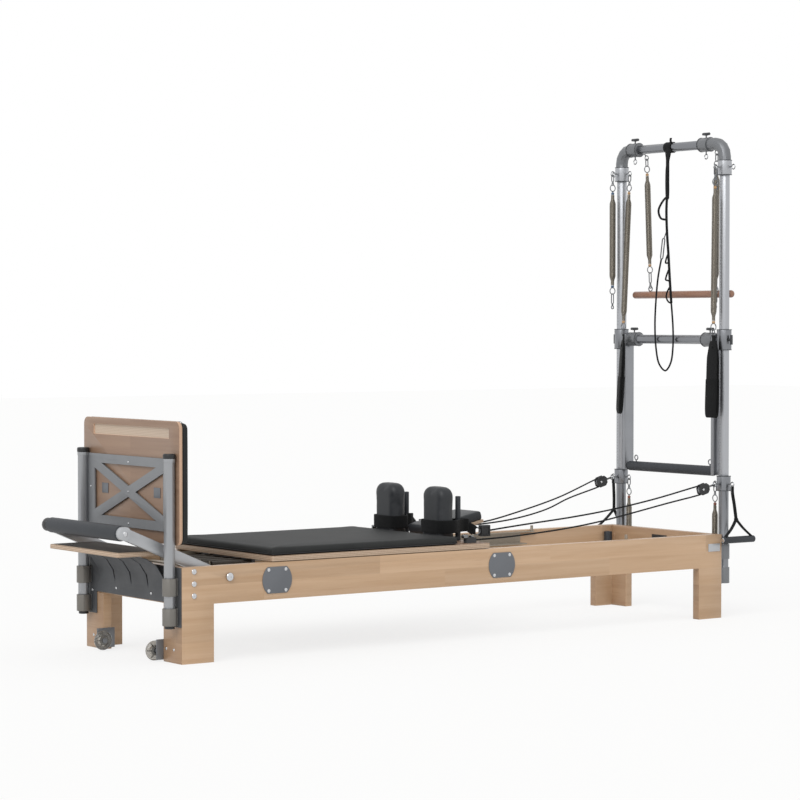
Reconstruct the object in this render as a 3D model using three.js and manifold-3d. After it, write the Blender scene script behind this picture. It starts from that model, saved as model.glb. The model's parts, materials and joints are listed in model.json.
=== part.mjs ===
// A reformer with a spring tower: a wooden bed with a sliding carriage, a footbar and a
// jumpboard at the foot end, and a tubular tower with springs, straps and bars at the other.
// Millimetres. X runs from the foot end to the tower, Z is up, the near side is -Y.
import * as THREE from 'three';
import { mergeVertices } from 'three/addons/utils/BufferGeometryUtils.js';
import Module from 'manifold-3d';

const wasm = await Module();
wasm.setup();

// Driving sizes of the bed
const frameLength = 2592;
const frameWidth = 690;
const railTop = 345;
const railDepth = 135;
const boardThickness = 35;
const footLegWidth = 134;
const towerLegWidth = 125;
const legReturnWidth = 127;

// Driving sizes of the carriage
const carriageStart = 384;
const carriageLength = 1004;
const carriageBoardThickness = 20;
const padThickness = 33;
const padSetback = 152;
const carriageClearance = 2.5;

// Driving sizes of the tower
const towerTubeRadius = 21.2;
const barTubeRadius = 19;
const collarRadius = 29.5;
const towerPostSpacing = 648;
const towerPostOffset = 30;
const topBarHeight = 1955;
const slidingBarHeight = 1146;
const lowerCollarTop = 584;
const collarLength = 62;

// Clearances and cutter overrun
const fitGap = 0.3;
const slideGap = 0.6;
const overrun = 5;

const nearSide = -1;
const farSide = 1;

const X = new THREE.Vector3(1, 0, 0);
const Y = new THREE.Vector3(0, 1, 0);
const Z = new THREE.Vector3(0, 0, 1);

const railBottom = railTop - railDepth;
const innerHalfWidth = frameWidth / 2 - boardThickness;
const postX = frameLength + towerPostOffset;
const postY = towerPostSpacing / 2;

// Colours of the materials
const finishes = {
  beech: { color: 0xc9a47d, roughness: 0.55, metalness: 0 },
  plywood: { color: 0xc7ad8f, roughness: 0.6, metalness: 0 },
  walnutTone: { color: 0xa67c5f, roughness: 0.5, metalness: 0 },
  vinyl: { color: 0x3b3d3f, roughness: 0.6, metalness: 0 },
  foam: { color: 0x36393d, roughness: 0.75, metalness: 0 },
  tube: { color: 0x9a9ca1, roughness: 0.4, metalness: 0.6 },
  fitting: { color: 0x85868a, roughness: 0.5, metalness: 0.5 },
  darkSteel: { color: 0x4a4b4d, roughness: 0.6, metalness: 0.4 },
  aluminium: { color: 0xb4b5b8, roughness: 0.35, metalness: 0.9 },
  springSteel: { color: 0x8f897d, roughness: 0.35, metalness: 0.9 },
  webbing: { color: 0x17181a, roughness: 0.9, metalness: 0 },
  rope: { color: 0x202124, roughness: 0.9, metalness: 0 },
  blackPlastic: { color: 0x1d1e20, roughness: 0.5, metalness: 0 },
  clearWheel: { color: 0xb9b6ae, roughness: 0.25, metalness: 0 },
};

const model = new THREE.Group();
const cordNames = [];

// Turns a closed three.js geometry into a solid
function solid(geometry) {

  const plain = new THREE.BufferGeometry();
  plain.setAttribute('position', geometry.getAttribute('position').clone());
  if (geometry.index) plain.setIndex(geometry.index.clone());
  const merged = mergeVertices(plain, fitGap / 1000);
  return new wasm.Manifold(new wasm.Mesh({
    numProp: 3,
    vertProperties: new Float32Array(merged.attributes.position.array),
    triVerts: new Uint32Array(merged.index.array),
  }));
}

function joined(...pieces) {
  return pieces.reduce((whole, piece) => whole.add(piece));
}

function cut(body, ...cutters) {
  return cutters.reduce((left, cutter) => left.subtract(cutter), body);
}

// Names a solid and hangs it in the model
function addPart(name, body, finish) {
  const data = body.getMesh();
  const geometry = new THREE.BufferGeometry();
  geometry.setAttribute('position', new THREE.BufferAttribute(new Float32Array(data.vertProperties), 3));
  geometry.setIndex(new THREE.BufferAttribute(new Uint32Array(data.triVerts), 1));
  geometry.computeVertexNormals();
  const mesh = new THREE.Mesh(geometry, new THREE.MeshStandardMaterial(finishes[finish]));
  mesh.name = name;
  model.add(mesh);
  return mesh;
}

function point(x, y, z) {
  return new THREE.Vector3(x, y, z);
}

function block([x0, x1], [y0, y1], [z0, z1]) {
  const geometry = new THREE.BoxGeometry(Math.abs(x1 - x0), Math.abs(y1 - y0), Math.abs(z1 - z0));
  geometry.translate((x0 + x1) / 2, (y0 + y1) / 2, (z0 + z1) / 2);
  return solid(geometry);
}

// Stands a geometry made along +Y on a start point, along a direction
function aimed(geometry, start, direction) {
  const turn = new THREE.Quaternion().setFromUnitVectors(Y, direction.clone().normalize());
  geometry.applyQuaternion(turn);
  geometry.translate(start.x, start.y, start.z);
  return solid(geometry);
}

function rod(start, end, radius, sides = 12, endRadius = radius) {
  const length = start.distanceTo(end);
  const geometry = new THREE.CylinderGeometry(endRadius, radius, length, sides);
  geometry.translate(0, length / 2, 0);
  return aimed(geometry, start, end.clone().sub(start));
}

// Turns a profile of [radius, height] pairs about a line
function turned(profile, start, direction, sides = 20) {
  const points = profile.map(([radius, height]) => new THREE.Vector2(radius, height));
  return aimed(new THREE.LatheGeometry(points, sides), start, direction);
}

const prismBases = {
  x: new THREE.Matrix4().makeBasis(Y, Z, X),
  y: new THREE.Matrix4().makeBasis(X, Z, Y.clone().negate()),
  z: new THREE.Matrix4(),
};

// Extrudes an outline along one axis, from one level to another
function prism(outline, axis, [low, high], holes = [], curveSegments = 6) {
  const shape = outline instanceof THREE.Shape ? outline : new THREE.Shape(outline.map(([u, v]) => new THREE.Vector2(u, v)));
  for (const hole of holes) {
    shape.holes.push(new THREE.Path(hole.map(([u, v]) => new THREE.Vector2(u, v))));
  }
  const depth = high - low;
  const geometry = new THREE.ExtrudeGeometry(shape, { depth, bevelEnabled: false, curveSegments });
  geometry.translate(0, 0, axis === 'y' ? -high : low);
  geometry.applyMatrix4(prismBases[axis]);
  return solid(geometry);
}

function roundedRectangle(u0, u1, v0, v1, radius) {
  const shape = new THREE.Shape();
  shape.moveTo(u0 + radius, v0);
  shape.lineTo(u1 - radius, v0);
  shape.absarc(u1 - radius, v0 + radius, radius, -Math.PI / 2, 0, false);
  shape.lineTo(u1, v1 - radius);
  shape.absarc(u1 - radius, v1 - radius, radius, 0, Math.PI / 2, false);
  shape.lineTo(u0 + radius, v1);
  shape.absarc(u0 + radius, v1 - radius, radius, Math.PI / 2, Math.PI, false);
  shape.lineTo(u0, v0 + radius);
  shape.absarc(u0 + radius, v0 + radius, radius, Math.PI, Math.PI * 1.5, false);
  return shape;
}

// Skins a row of rings that have equal counts of points; an open row gets fan caps
function loft(rings, closed = false) {
  const count = rings[0].length;
  const positions = rings.flat().flatMap((p) => [p.x, p.y, p.z]);
  const index = [];
  const last = closed ? rings.length : rings.length - 1;
  for (let i = 0; i < last; i += 1) {
    const a = i * count;
    const b = ((i + 1) % rings.length) * count;
    for (let j = 0; j < count; j += 1) {
      const k = (j + 1) % count;
      index.push(a + j, a + k, b + k, a + j, b + k, b + j);
    }
  }
  if (!closed) {
    for (const [ring, base, flip] of [[rings[0], 0, true], [rings.at(-1), (rings.length - 1) * count, false]]) {
      const centre = ring.reduce((sum, p) => sum.add(p), point(0, 0, 0)).divideScalar(count);
      const tip = positions.length / 3;
      positions.push(centre.x, centre.y, centre.z);
      for (let j = 0; j < count; j += 1) {
        const k = (j + 1) % count;
        index.push(tip, base + (flip ? k : j), base + (flip ? j : k));
      }
    }
  }
  const geometry = new THREE.BufferGeometry();
  geometry.setAttribute('position', new THREE.Float32BufferAttribute(positions, 3));
  geometry.setIndex(facingOut(positions, index));
  return solid(geometry);
}

// Reverses the triangles of a skin whose faces point in
function facingOut(positions, index) {
  let volume = 0;
  const corner = (i) => point(positions[3 * i], positions[3 * i + 1], positions[3 * i + 2]);
  for (let t = 0; t < index.length; t += 3) {
    volume += corner(index[t]).dot(corner(index[t + 1]).cross(corner(index[t + 2])));
  }
  if (volume > 0) return index;
  const reversed = [];
  for (let t = 0; t < index.length; t += 3) reversed.push(index[t], index[t + 2], index[t + 1]);
  return reversed;
}

function around(count, place) {
  return Array.from({ length: count }, (_, i) => place((i / count) * Math.PI * 2, i));
}

// A closed wire loop in one plane, through a ring of points
function wireLoop(points, normal, wire, sides = 4) {
  const rings = points.map((p, i) => {
    const before = points.at(i - 1);
    const after = points[(i + 1) % points.length];
    const outward = after.clone().sub(before).normalize().cross(normal);
    return around(sides, (angle) => p.clone()
      .addScaledVector(outward, wire * Math.cos(angle))
      .addScaledVector(normal, wire * Math.sin(angle)));
  });
  return loft(rings, true);
}

const ringSteps = 8;

function ring(centre, normal, radius, wire, steps = ringSteps) {
  const across = Math.abs(normal.z) > Math.abs(normal.x) ? X.clone() : Z.clone();
  const up = normal.clone().cross(across);
  const points = around(steps, (angle) => centre.clone()
    .addScaledVector(across, radius * Math.cos(angle))
    .addScaledVector(up, radius * Math.sin(angle)));
  return wireLoop(points, normal, wire);
}

// A long link, such as a spring clip, hanging between two heights
function link(x, y, [low, high], halfWidth, normal, wire) {
  const across = normal.clone().cross(Z);
  const arcSteps = 3;
  const points = [];
  for (const [level, from] of [[high - halfWidth, 0], [low + halfWidth, Math.PI]]) {
    for (let i = 0; i <= arcSteps; i += 1) {
      const angle = from + (i / arcSteps) * Math.PI;
      points.push(point(x, y, level)
        .addScaledVector(across, halfWidth * Math.cos(angle))
        .addScaledVector(Z, halfWidth * Math.sin(angle)));
    }
  }
  return wireLoop(points, normal, wire);
}

// A strap or webbing along points; across is the direction of its width
function band(points, across, width, thickness, closed = false) {
  const rings = points.map((p, i) => {
    const before = closed ? points.at(i - 1) : points[Math.max(i - 1, 0)];
    const after = closed ? points[(i + 1) % points.length] : points[Math.min(i + 1, points.length - 1)];
    const face = after.clone().sub(before).normalize().cross(across).normalize();
    return [[-1, -1], [1, -1], [1, 1], [-1, 1]].map(([w, t]) => p.clone()
      .addScaledVector(across, (w * width) / 2)
      .addScaledVector(face, (t * thickness) / 2));
  });
  return loft(rings, closed);
}

// A round bar along a curve
function pipe(curve, radius, steps, sides = 8) {
  const section = new THREE.Shape(around(sides, (angle) =>
    new THREE.Vector2(radius * Math.cos(angle), radius * Math.sin(angle))));
  return solid(new THREE.ExtrudeGeometry(section, { steps, extrudePath: curve, bevelEnabled: false }));
}

function smooth(points) {
  return new THREE.CatmullRomCurve3(points, false, 'centripetal');
}

// Wooden frame
const footbarPivot = { x: 200, z: 303 };
const pivotPinRadius = 8;
const pivotBoreRadius = 9;
const stopperRadius = 17;
const stopperTop = 318;
const stopperHeight = 100;
const stopperReach = 70;
const stopperWebThickness = 8;

// A side rail with its two legs, each leg an L of two boards
function sideRail(side) {
  const outline = [
    [0, 0], [footLegWidth, 0], [footLegWidth, railBottom],
    [frameLength - towerLegWidth, railBottom], [frameLength - towerLegWidth, 0],
    [frameLength, 0], [frameLength, railTop], [0, railTop],
  ];
  const faces = [side * innerHalfWidth, (side * frameWidth) / 2].sort((a, b) => a - b);
  const returnInner = frameWidth / 2 - legReturnWidth;
  const returnFaces = [side * returnInner, side * (frameWidth / 2 - boardThickness / 2)].sort((a, b) => a - b);
  const returnTop = railBottom - fitGap;
  const body = joined(
    prism(outline, 'y', faces),
    block([0, boardThickness], returnFaces, [0, returnTop]),
    block([frameLength - boardThickness, frameLength], returnFaces, [0, returnTop]),
  );
  const boreStart = point(footbarPivot.x, side * (innerHalfWidth - overrun), footbarPivot.z);
  const boreEnd = point(footbarPivot.x, side * (frameWidth / 2 + overrun), footbarPivot.z);
  return cut(body, rod(boreStart, boreEnd, pivotBoreRadius, 12));
}

function endBoard(x0) {
  const reach = innerHalfWidth - fitGap;
  return block([x0, x0 + boardThickness], [-reach, reach], [railBottom, railTop]);
}

// A bumper post for the carriage, webbed to the tower end board
function stopper(side) {
  const x = frameLength - stopperReach;
  const y = side * (innerHalfWidth - stopperRadius - fitGap);
  const foot = stopperTop - stopperHeight;
  const webEnd = frameLength - boardThickness / 2;
  const web = [y - stopperWebThickness / 2, y + stopperWebThickness / 2];
  return joined(
    rod(point(x, y, foot), point(x, y, stopperTop), stopperRadius, 16),
    block([x, webEnd], web, [foot + stopperWebThickness, stopperTop - stopperWebThickness]),
  );
}

addPart('near_side_rail', sideRail(nearSide), 'beech');
addPart('far_side_rail', sideRail(farSide), 'beech');
addPart('foot_end_board', endBoard(0), 'beech');
addPart('tower_end_board', joined(
  endBoard(frameLength - boardThickness), stopper(nearSide), stopper(farSide),
), 'beech');

// Tracks inside the rails, with a stop pin at the tower end of each
const trackStart = 300;
const trackEnd = 2050;
const trackWall = 4;
const trackTop = 340;
const trackHeight = 50;
const trackLip = 17;
const trackFloor = 50;
const stopPinRadius = 6;
const stopPinReach = 60;
const stopPinHeight = 18;

function track(side) {
  const back = innerHalfWidth - fitGap;
  const foot = trackTop - trackHeight;
  const lipEdge = back - trackLip;
  const floorEdge = back - trackFloor;
  const wall = back - trackWall;
  const outline = [
    [back, foot], [back, trackTop], [lipEdge, trackTop], [lipEdge, trackTop - trackWall],
    [wall, trackTop - trackWall], [wall, foot + trackWall], [floorEdge, foot + trackWall], [floorEdge, foot],
  ].map(([y, z]) => [side * y, z]);
  const pinX = trackEnd + stopPinReach;
  const pinY = side * (back - stopPinRadius);
  const armFaces = [side * back, side * lipEdge].sort((a, b) => a - b);
  return joined(
    prism(side > 0 ? outline : outline.reverse(), 'x', [trackStart, trackEnd]),
    block([trackEnd - trackWall, pinX + stopPinRadius], armFaces, [trackTop - trackWall, trackTop]),
    rod(point(pinX, pinY, trackTop - trackWall), point(pinX, pinY, railTop + stopPinHeight), stopPinRadius, 12),
  );
}
addPart('near_track', track(nearSide), 'aluminium');
addPart('far_track', track(farSide), 'aluminium');

// Spring bar across the foot end, with a hook for each spring
const springBarX = 248;
const springBarWidth = 34;
const springBarFoot = 292;
const springBarHeight = 24;
const springPitch = 66;
const springCountEachSide = 2;
const springAxisHeight = 330;
const hookWire = 3;
const hookPegHeight = 26;
const hookSlots = Array.from({ length: 2 * springCountEachSide + 1 }, (_, i) => (i - springCountEachSide) * springPitch);

function springBar() {
  const reach = innerHalfWidth - fitGap;
  const top = springBarFoot + springBarHeight;
  const bar = block([springBarX - springBarWidth / 2, springBarX + springBarWidth / 2], [-reach, reach], [springBarFoot, top]);
  const pegs = hookSlots.map((y) => rod(
    point(springBarX, y, top - hookWire), point(springBarX, y, top + hookPegHeight), hookWire, 8));
  return joined(bar, ...pegs);
}
addPart('spring_bar', springBar(), 'aluminium');

// Foot end: steel plate with curved bands that carry the standing platform
const platformTop = 401;
const platformThickness = 16;
const platformReach = 208;
const platformWidth = 506;
const platformCorner = 12;
const plateThickness = 4;
const plateFoot = 214;
const plateTabFoot = 132;
const plateTabInner = 262;
const bandCount = 4;
const bandWidth = 112;
const bandGap = 8;
const bandThickness = 3;
const bandRadius = 128;
const jumpPostX = -31;
const jumpPostSpacing = 624;
const jumpPostRadius = 20;
const jumpPostTop = 747;
const sleeveRadius = 26;
const upperSleeve = [244, 307];
const lowerSleeve = [138, 200];

function footEndPlate() {
  const outer = frameWidth / 2;
  const outline = [
    [-outer, plateTabFoot], [-plateTabInner, plateTabFoot], [-plateTabInner, plateFoot],
    [plateTabInner, plateFoot], [plateTabInner, plateTabFoot], [outer, plateTabFoot],
    [outer, railTop], [-outer, railTop],
  ];
  const back = -fitGap;
  const face = back - plateThickness;
  const bandTop = platformTop - platformThickness - fitGap;
  const bandFoot = bandTop - bandRadius;
  const arcSteps = 4;
  const outerArc = [];
  const innerArc = [];
  for (let i = 0; i <= arcSteps; i += 1) {
    const angle = (i / arcSteps) * (Math.PI / 2);
    const centreX = face - bandRadius + bandThickness;
    outerArc.push([centreX + bandRadius * Math.cos(angle), bandFoot + bandRadius * Math.sin(angle)]);
    const inner = bandRadius - bandThickness;
    innerArc.unshift([centreX + inner * Math.cos(angle), bandFoot + inner * Math.sin(angle)]);
  }
  const bandOutline = [[face + bandThickness, plateFoot], ...outerArc, ...innerArc, [face, plateFoot]];
  const pitch = bandWidth + bandGap;
  const bands = Array.from({ length: bandCount }, (_, i) => {
    const centre = (i - (bandCount - 1) / 2) * pitch;
    return prism(bandOutline, 'y', [centre - bandWidth / 2, centre + bandWidth / 2]);
  });
  const sleeves = [nearSide, farSide].flatMap((side) => [upperSleeve, lowerSleeve].map(([low, high]) => {
    const y = (side * jumpPostSpacing) / 2;
    const web = [y - sleeveRadius / 2, y + sleeveRadius / 2];
    return joined(
      rod(point(jumpPostX, y, low), point(jumpPostX, y, high), sleeveRadius, 12),
      block([jumpPostX, face + plateThickness / 2], web, [low, high]),
    );
  }));
  const bores = [nearSide, farSide].map((side) => {
    const y = (side * jumpPostSpacing) / 2;
    return rod(point(jumpPostX, y, lowerSleeve[0] - overrun), point(jumpPostX, y, upperSleeve[1] + overrun),
      jumpPostRadius + slideGap, 12);
  });
  return cut(joined(prism(outline, 'x', [face, back]), ...bands, ...sleeves), ...bores);
}
addPart('foot_end_plate', footEndPlate(), 'darkSteel');

const platformOutline = roundedRectangle(
  -platformReach, -plateThickness - 2 * fitGap, -platformWidth / 2, platformWidth / 2, platformCorner);
addPart('standing_platform',
  prism(platformOutline, 'z', [platformTop - platformThickness, platformTop], [], 3), 'plywood');

// Transport wheels on brackets at the foot legs
const wheelRadius = 36.5;
const wheelWidth = 24;
const wheelBore = 6.6;
const wheelAxleRadius = 6;
const wheelX = -19;
const wheelLift = 0.8;
const wheelTread = 374;
const bracketThickness = 4;
const bracketTop = 80;
const bracketFoot = 6;
const bracketReach = 46;

function wheelBracket(side) {
  const inner = frameWidth / 2 - legReturnWidth - fitGap;
  const span = (a, b) => [side * a, side * b].sort((p, q) => p - q);
  const wheelY = wheelTread / 2;
  const axleStart = wheelY - wheelWidth / 2 - bracketThickness;
  const z = wheelRadius + wheelLift;
  const footRadius = wheelAxleRadius + bracketThickness;
  return joined(
    block([wheelX - footRadius, bracketReach], span(inner - bracketThickness, inner), [bracketFoot, bracketTop]),
    rod(point(wheelX, side * axleStart, z), point(wheelX, side * inner, z), wheelAxleRadius, 12),
    rod(point(wheelX, side * axleStart, z), point(wheelX, side * (axleStart + bracketThickness - fitGap * 2), z),
      footRadius, 12),
  );
}

function transportWheel() {
  const half = wheelWidth / 2;
  const tread = wheelRadius - bracketThickness;
  return [
    [wheelBore, -half], [tread, -half], [wheelRadius, -half / 2], [wheelRadius, half / 2],
    [tread, half], [wheelBore, half], [wheelBore, -half],
  ];
}
for (const [label, side] of [['near', nearSide], ['far', farSide]]) {
  addPart(`${label}_wheel_bracket`, wheelBracket(side), 'fitting');
  addPart(`${label}_wheel`, turned(transportWheel(),
    point(wheelX, (side * wheelTread) / 2, wheelRadius + wheelLift), Y, 14), 'clearWheel');
}

// Footbar: two flat arms on pivot pins, a cross tube and a padded grip
const footbarGrip = { x: -195, z: 471 };
const footbarArmDepth = 42;
const footbarArmThickness = 20;
const footbarArmOuter = 281;
const footbarTubeRadius = 14;
const footbarGripRadius = 28;
const footbarCapRadius = 25;
const footbarCapDepth = 5;
const pivotHubRadius = 21;
const pivotSpacerRadius = 15;
const pivotHeadRadius = 13;
const pivotHeadDepth = 6;

function footbarFrame() {
  const armInner = footbarArmOuter - footbarArmThickness;
  const dx = footbarGrip.x - footbarPivot.x;
  const dz = footbarGrip.z - footbarPivot.z;
  const length = Math.hypot(dx, dz);
  const [ux, uz] = [dx / length, dz / length];
  const half = footbarArmDepth / 2;
  const corner = (along, across) => [footbarPivot.x + ux * along - uz * across, footbarPivot.z + uz * along + ux * across];
  const outline = [corner(0, half), corner(length, half), corner(length, -half), corner(0, -half)];
  const at = (y, place) => point(place.x, y, place.z);
  const arms = [nearSide, farSide].map((side) => {
    const faces = [side * armInner, side * footbarArmOuter].sort((a, b) => a - b);
    return joined(
      prism(outline, 'y', faces),
      rod(at(side * armInner, footbarPivot), at(side * footbarArmOuter, footbarPivot), pivotHubRadius, 12),
      rod(at(side * armInner, footbarGrip), at(side * (footbarArmOuter + footbarCapDepth), footbarGrip), footbarCapRadius, 16),
      rod(at(side * footbarArmOuter, footbarPivot), at(side * (innerHalfWidth - slideGap), footbarPivot), pivotSpacerRadius, 12),
      rod(at(side * footbarArmOuter, footbarPivot), at(side * (frameWidth / 2 + pivotHeadDepth), footbarPivot), pivotPinRadius, 10),
      rod(at(side * (frameWidth / 2 + slideGap), footbarPivot), at(side * (frameWidth / 2 + pivotHeadDepth), footbarPivot),
        pivotHeadRadius, 10, pivotHeadRadius / 2),
    );
  });
  const tubeReach = armInner + footbarArmThickness / 2;
  const tube = rod(at(-tubeReach, footbarGrip), at(tubeReach, footbarGrip), footbarTubeRadius, 12);
  return joined(...arms, tube);
}
addPart('footbar_frame', footbarFrame(), 'aluminium');

function sleeveProfile(length, outer, inner, edge) {
  return [
    [inner, 0], [outer - edge, 0], [outer, edge], [outer, length - edge], [outer - edge, length], [inner, length], [inner, 0],
  ];
}
const footbarGripLength = 2 * (footbarArmOuter - footbarArmThickness - fitGap);
addPart('footbar_grip', turned(
  sleeveProfile(footbarGripLength, footbarGripRadius, footbarTubeRadius + fitGap, bandThickness),
  point(footbarGrip.x, -footbarGripLength / 2, footbarGrip.z), Y, 20), 'foam');

// Jumpboard: posts with a cross-braced plate, a wooden panel and a pad
const jumpPlateThickness = 6;
const jumpPlateLow = 470;
const jumpPlateHigh = 731;
const jumpPlateBorder = 34;
const jumpPlateSide = 44;
const jumpBraceWidth = 36;
const jumpPanelLow = 424;
const jumpPanelHigh = 865;
const jumpPanelThickness = 13;
const jumpPanelCorner = 26;
const jumpPadThickness = 32;
const jumpPadInset = 1;
const jumpSlotWidth = 544;
const jumpSlotLow = 803;
const jumpSlotHigh = 840;
const jumpSlotDepth = 6;
const capHeight = 26;
const capLip = 1.5;
const jumpPanelX = jumpPostX + jumpPostRadius + capLip + slideGap;

function jumpboardFrame() {
  const half = jumpPostSpacing / 2;
  const posts = [-half, half].map((y) => joined(
    rod(point(jumpPostX, y, lowerSleeve[0]), point(jumpPostX, y, jumpPostTop - capHeight), jumpPostRadius, 12),
    rod(point(jumpPostX, y, jumpPostTop - capHeight), point(jumpPostX, y, jumpPostTop), jumpPostRadius + capLip, 12),
  ));
  const inner = half - jumpPostRadius - jumpPlateSide;
  const low = jumpPlateLow + jumpPlateBorder;
  const high = jumpPlateHigh - jumpPlateBorder;
  const middle = (low + high) / 2;
  const rise = (high - low) / 2;
  const offsetY = (jumpBraceWidth / 2) * Math.hypot(inner, rise) / rise;
  const offsetZ = (jumpBraceWidth / 2) * Math.hypot(inner, rise) / inner;
  const openings = [
    [[-inner + offsetY, low], [inner - offsetY, low], [0, middle - offsetZ]],
    [[0, middle + offsetZ], [inner - offsetY, high], [-inner + offsetY, high]],
    [[-inner, low + offsetZ], [-offsetY, middle], [-inner, high - offsetZ]],
    [[inner, high - offsetZ], [offsetY, middle], [inner, low + offsetZ]],
  ];
  const outline = [[-half, jumpPlateLow], [half, jumpPlateLow], [half, jumpPlateHigh], [-half, jumpPlateHigh]];
  const plateBack = jumpPostX + jumpPostRadius - capLip;
  return joined(prism(outline, 'x', [plateBack - jumpPlateThickness, plateBack], openings), ...posts);
}
addPart('jumpboard_frame', jumpboardFrame(), 'tube');

function jumpboardPanel() {
  const reach = frameWidth / 2;
  const outline = roundedRectangle(-reach, reach, jumpPanelLow, jumpPanelHigh, jumpPanelCorner);
  const slot = block([jumpPanelX - overrun, jumpPanelX + jumpSlotDepth], [-jumpSlotWidth / 2, jumpSlotWidth / 2],
    [jumpSlotLow, jumpSlotHigh]);
  return cut(prism(outline, 'x', [jumpPanelX, jumpPanelX + jumpPanelThickness], [], 4), slot);
}
addPart('jumpboard_panel', jumpboardPanel(), 'plywood');

// A cushion with a crowned face and drawn-in sides, lofted up from its backing
const cushionShares = {
  side: [[0, 0.12], [0.3, 0], [0.72, 0], [0.93, 0.1], [1, 0.32]],
  crown: [[0.9, 0.35], [0.62, 0.8], [0.3, 0.97]],
};

function cushion([u0, u1], [v0, v1], thickness, crown, corner, place, shares = cushionShares) {
  const segments = 3;
  const outline = (inset) => [
    [u1 - inset - corner, v0 + inset + corner, 3], [u1 - inset - corner, v1 - inset - corner, 0],
    [u0 + inset + corner, v1 - inset - corner, 1], [u0 + inset + corner, v0 + inset + corner, 2],
  ].flatMap(([u, v, quarter]) => Array.from({ length: segments + 1 }, (_, i) => {
    const angle = (quarter + i / segments) * (Math.PI / 2);
    return new THREE.Vector2(u + corner * Math.cos(angle), v + corner * Math.sin(angle));
  }));
  const centreU = (u0 + u1) / 2;
  const centreV = (v0 + v1) / 2;
  const rings = shares.side.map(([level, inset]) =>
    outline(inset * corner).map((p) => place(p.x, p.y, level * thickness)));
  const top = outline(shares.side.at(-1)[1] * corner);
  for (const [share, lift] of shares.crown) {
    rings.push(top.map((p) => place(
      centreU + (p.x - centreU) * share, centreV + (p.y - centreV) * share, thickness + crown * lift)));
  }
  return loft(rings);
}

const jumpPadX = jumpPanelX + jumpPanelThickness + fitGap;
const padCrown = 3;
addPart('jumpboard_pad', cushion(
  [-frameWidth / 2 + jumpPadInset, frameWidth / 2 - jumpPadInset], [jumpPanelLow + jumpPadInset, jumpPanelHigh - jumpPadInset],
  jumpPadThickness - padCrown, padCrown, jumpPanelCorner - jumpPadInset, (u, v, w) => point(jumpPadX + w, u, v)), 'vinyl');

// Carriage: a board on rollers, with its pad, rope cleats, spring anchor and headrest ears
const boardCorner = 10;
const rollerRadius = 19;
const rollerWidth = 22;
const rollerAxleRadius = 5;
const rollerInset = 86;
const rollerOuter = 288;
const axleEarThickness = 12;
const axleEarHalf = 13;
const anchorX = 430;
const anchorThickness = 12;
const anchorHeight = 28;
const anchorOverhang = 16;
const cleatSetback = 66;
const cleatY = 300;
const cleatLength = 48;
const cleatWidth = 20;
const cleatHeight = 22;
const headrestHingeSetback = 88;
const headrestHingeLift = 8.5;
const headrestEar = 9;
const headrestPinRadius = 4;
const headrestBarrelRadius = 6;
const headrestWidth = 168;
const headrestLength = 260;
const headrestBoardThickness = 12;
const headrestPadThickness = 38;
const headrestTilt = THREE.MathUtils.degToRad(12);

const carriageFoot = railTop + carriageClearance;
const carriageTop = carriageFoot + carriageBoardThickness;
const carriageEnd = carriageStart + carriageLength;
const padEnd = carriageEnd - padSetback;
const cleatX = carriageEnd - cleatSetback;
const headrestHingeX = carriageEnd - headrestHingeSetback;
const rollerHeight = trackTop - trackHeight + trackWall + fitGap + rollerRadius;
const rollerPlaces = [carriageStart + rollerInset, carriageEnd - rollerInset];
const headrestHingeHeight = carriageTop + headrestHingeLift;

function carriageBoard() {
  const outline = roundedRectangle(carriageStart, carriageEnd, -frameWidth / 2, frameWidth / 2, boardCorner);
  const board = prism(outline, 'z', [carriageFoot, carriageTop], [], 3);
  const earFace = rollerOuter - rollerWidth - slideGap;
  const earFoot = rollerHeight - axleEarHalf;
  const ears = [];
  const bores = [];
  for (const x of rollerPlaces) {
    for (const side of [nearSide, farSide]) {
      const faces = [side * (earFace - axleEarThickness), side * earFace].sort((a, b) => a - b);
      ears.push(block([x - axleEarHalf, x + axleEarHalf], faces, [earFoot, carriageFoot + fitGap]));
      bores.push(rod(point(x, faces[0] - overrun, rollerHeight), point(x, faces[1] + overrun, rollerHeight),
        rollerAxleRadius + slideGap, 8));
    }
  }
  const anchorReach = springCountEachSide * springPitch + anchorOverhang;
  const anchor = block([anchorX - anchorThickness / 2, anchorX + anchorThickness / 2], [-anchorReach, anchorReach],
    [carriageFoot - anchorHeight, carriageFoot + fitGap]);
  const cleats = [nearSide, farSide].map((side) => block([cleatX - cleatLength / 2, cleatX + cleatLength / 2],
    [side * cleatY - cleatWidth / 2, side * cleatY + cleatWidth / 2], [carriageTop - fitGap, carriageTop + cleatHeight]));
  const hingeTop = headrestHingeHeight + headrestEar;
  for (const side of [nearSide, farSide]) {
    const inner = headrestWidth / 2 + slideGap;
    const faces = [side * inner, side * (inner + headrestEar)].sort((a, b) => a - b);
    ears.push(block([headrestHingeX - headrestEar, headrestHingeX + headrestEar], faces, [carriageTop - fitGap, hingeTop]));
    bores.push(rod(point(headrestHingeX, faces[0] - overrun, headrestHingeHeight),
      point(headrestHingeX, faces[1] + overrun, headrestHingeHeight), headrestPinRadius + slideGap, 8));
  }
  return cut(joined(board, anchor, ...cleats, ...ears), ...bores);
}
addPart('carriage_board', carriageBoard(), 'plywood');
addPart('carriage_pad', cushion(
  [carriageStart, padEnd], [-frameWidth / 2, frameWidth / 2],
  padThickness - padCrown, padCrown, boardCorner,
  (u, v, w) => point(u, v, carriageTop + fitGap + w)), 'vinyl');

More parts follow.
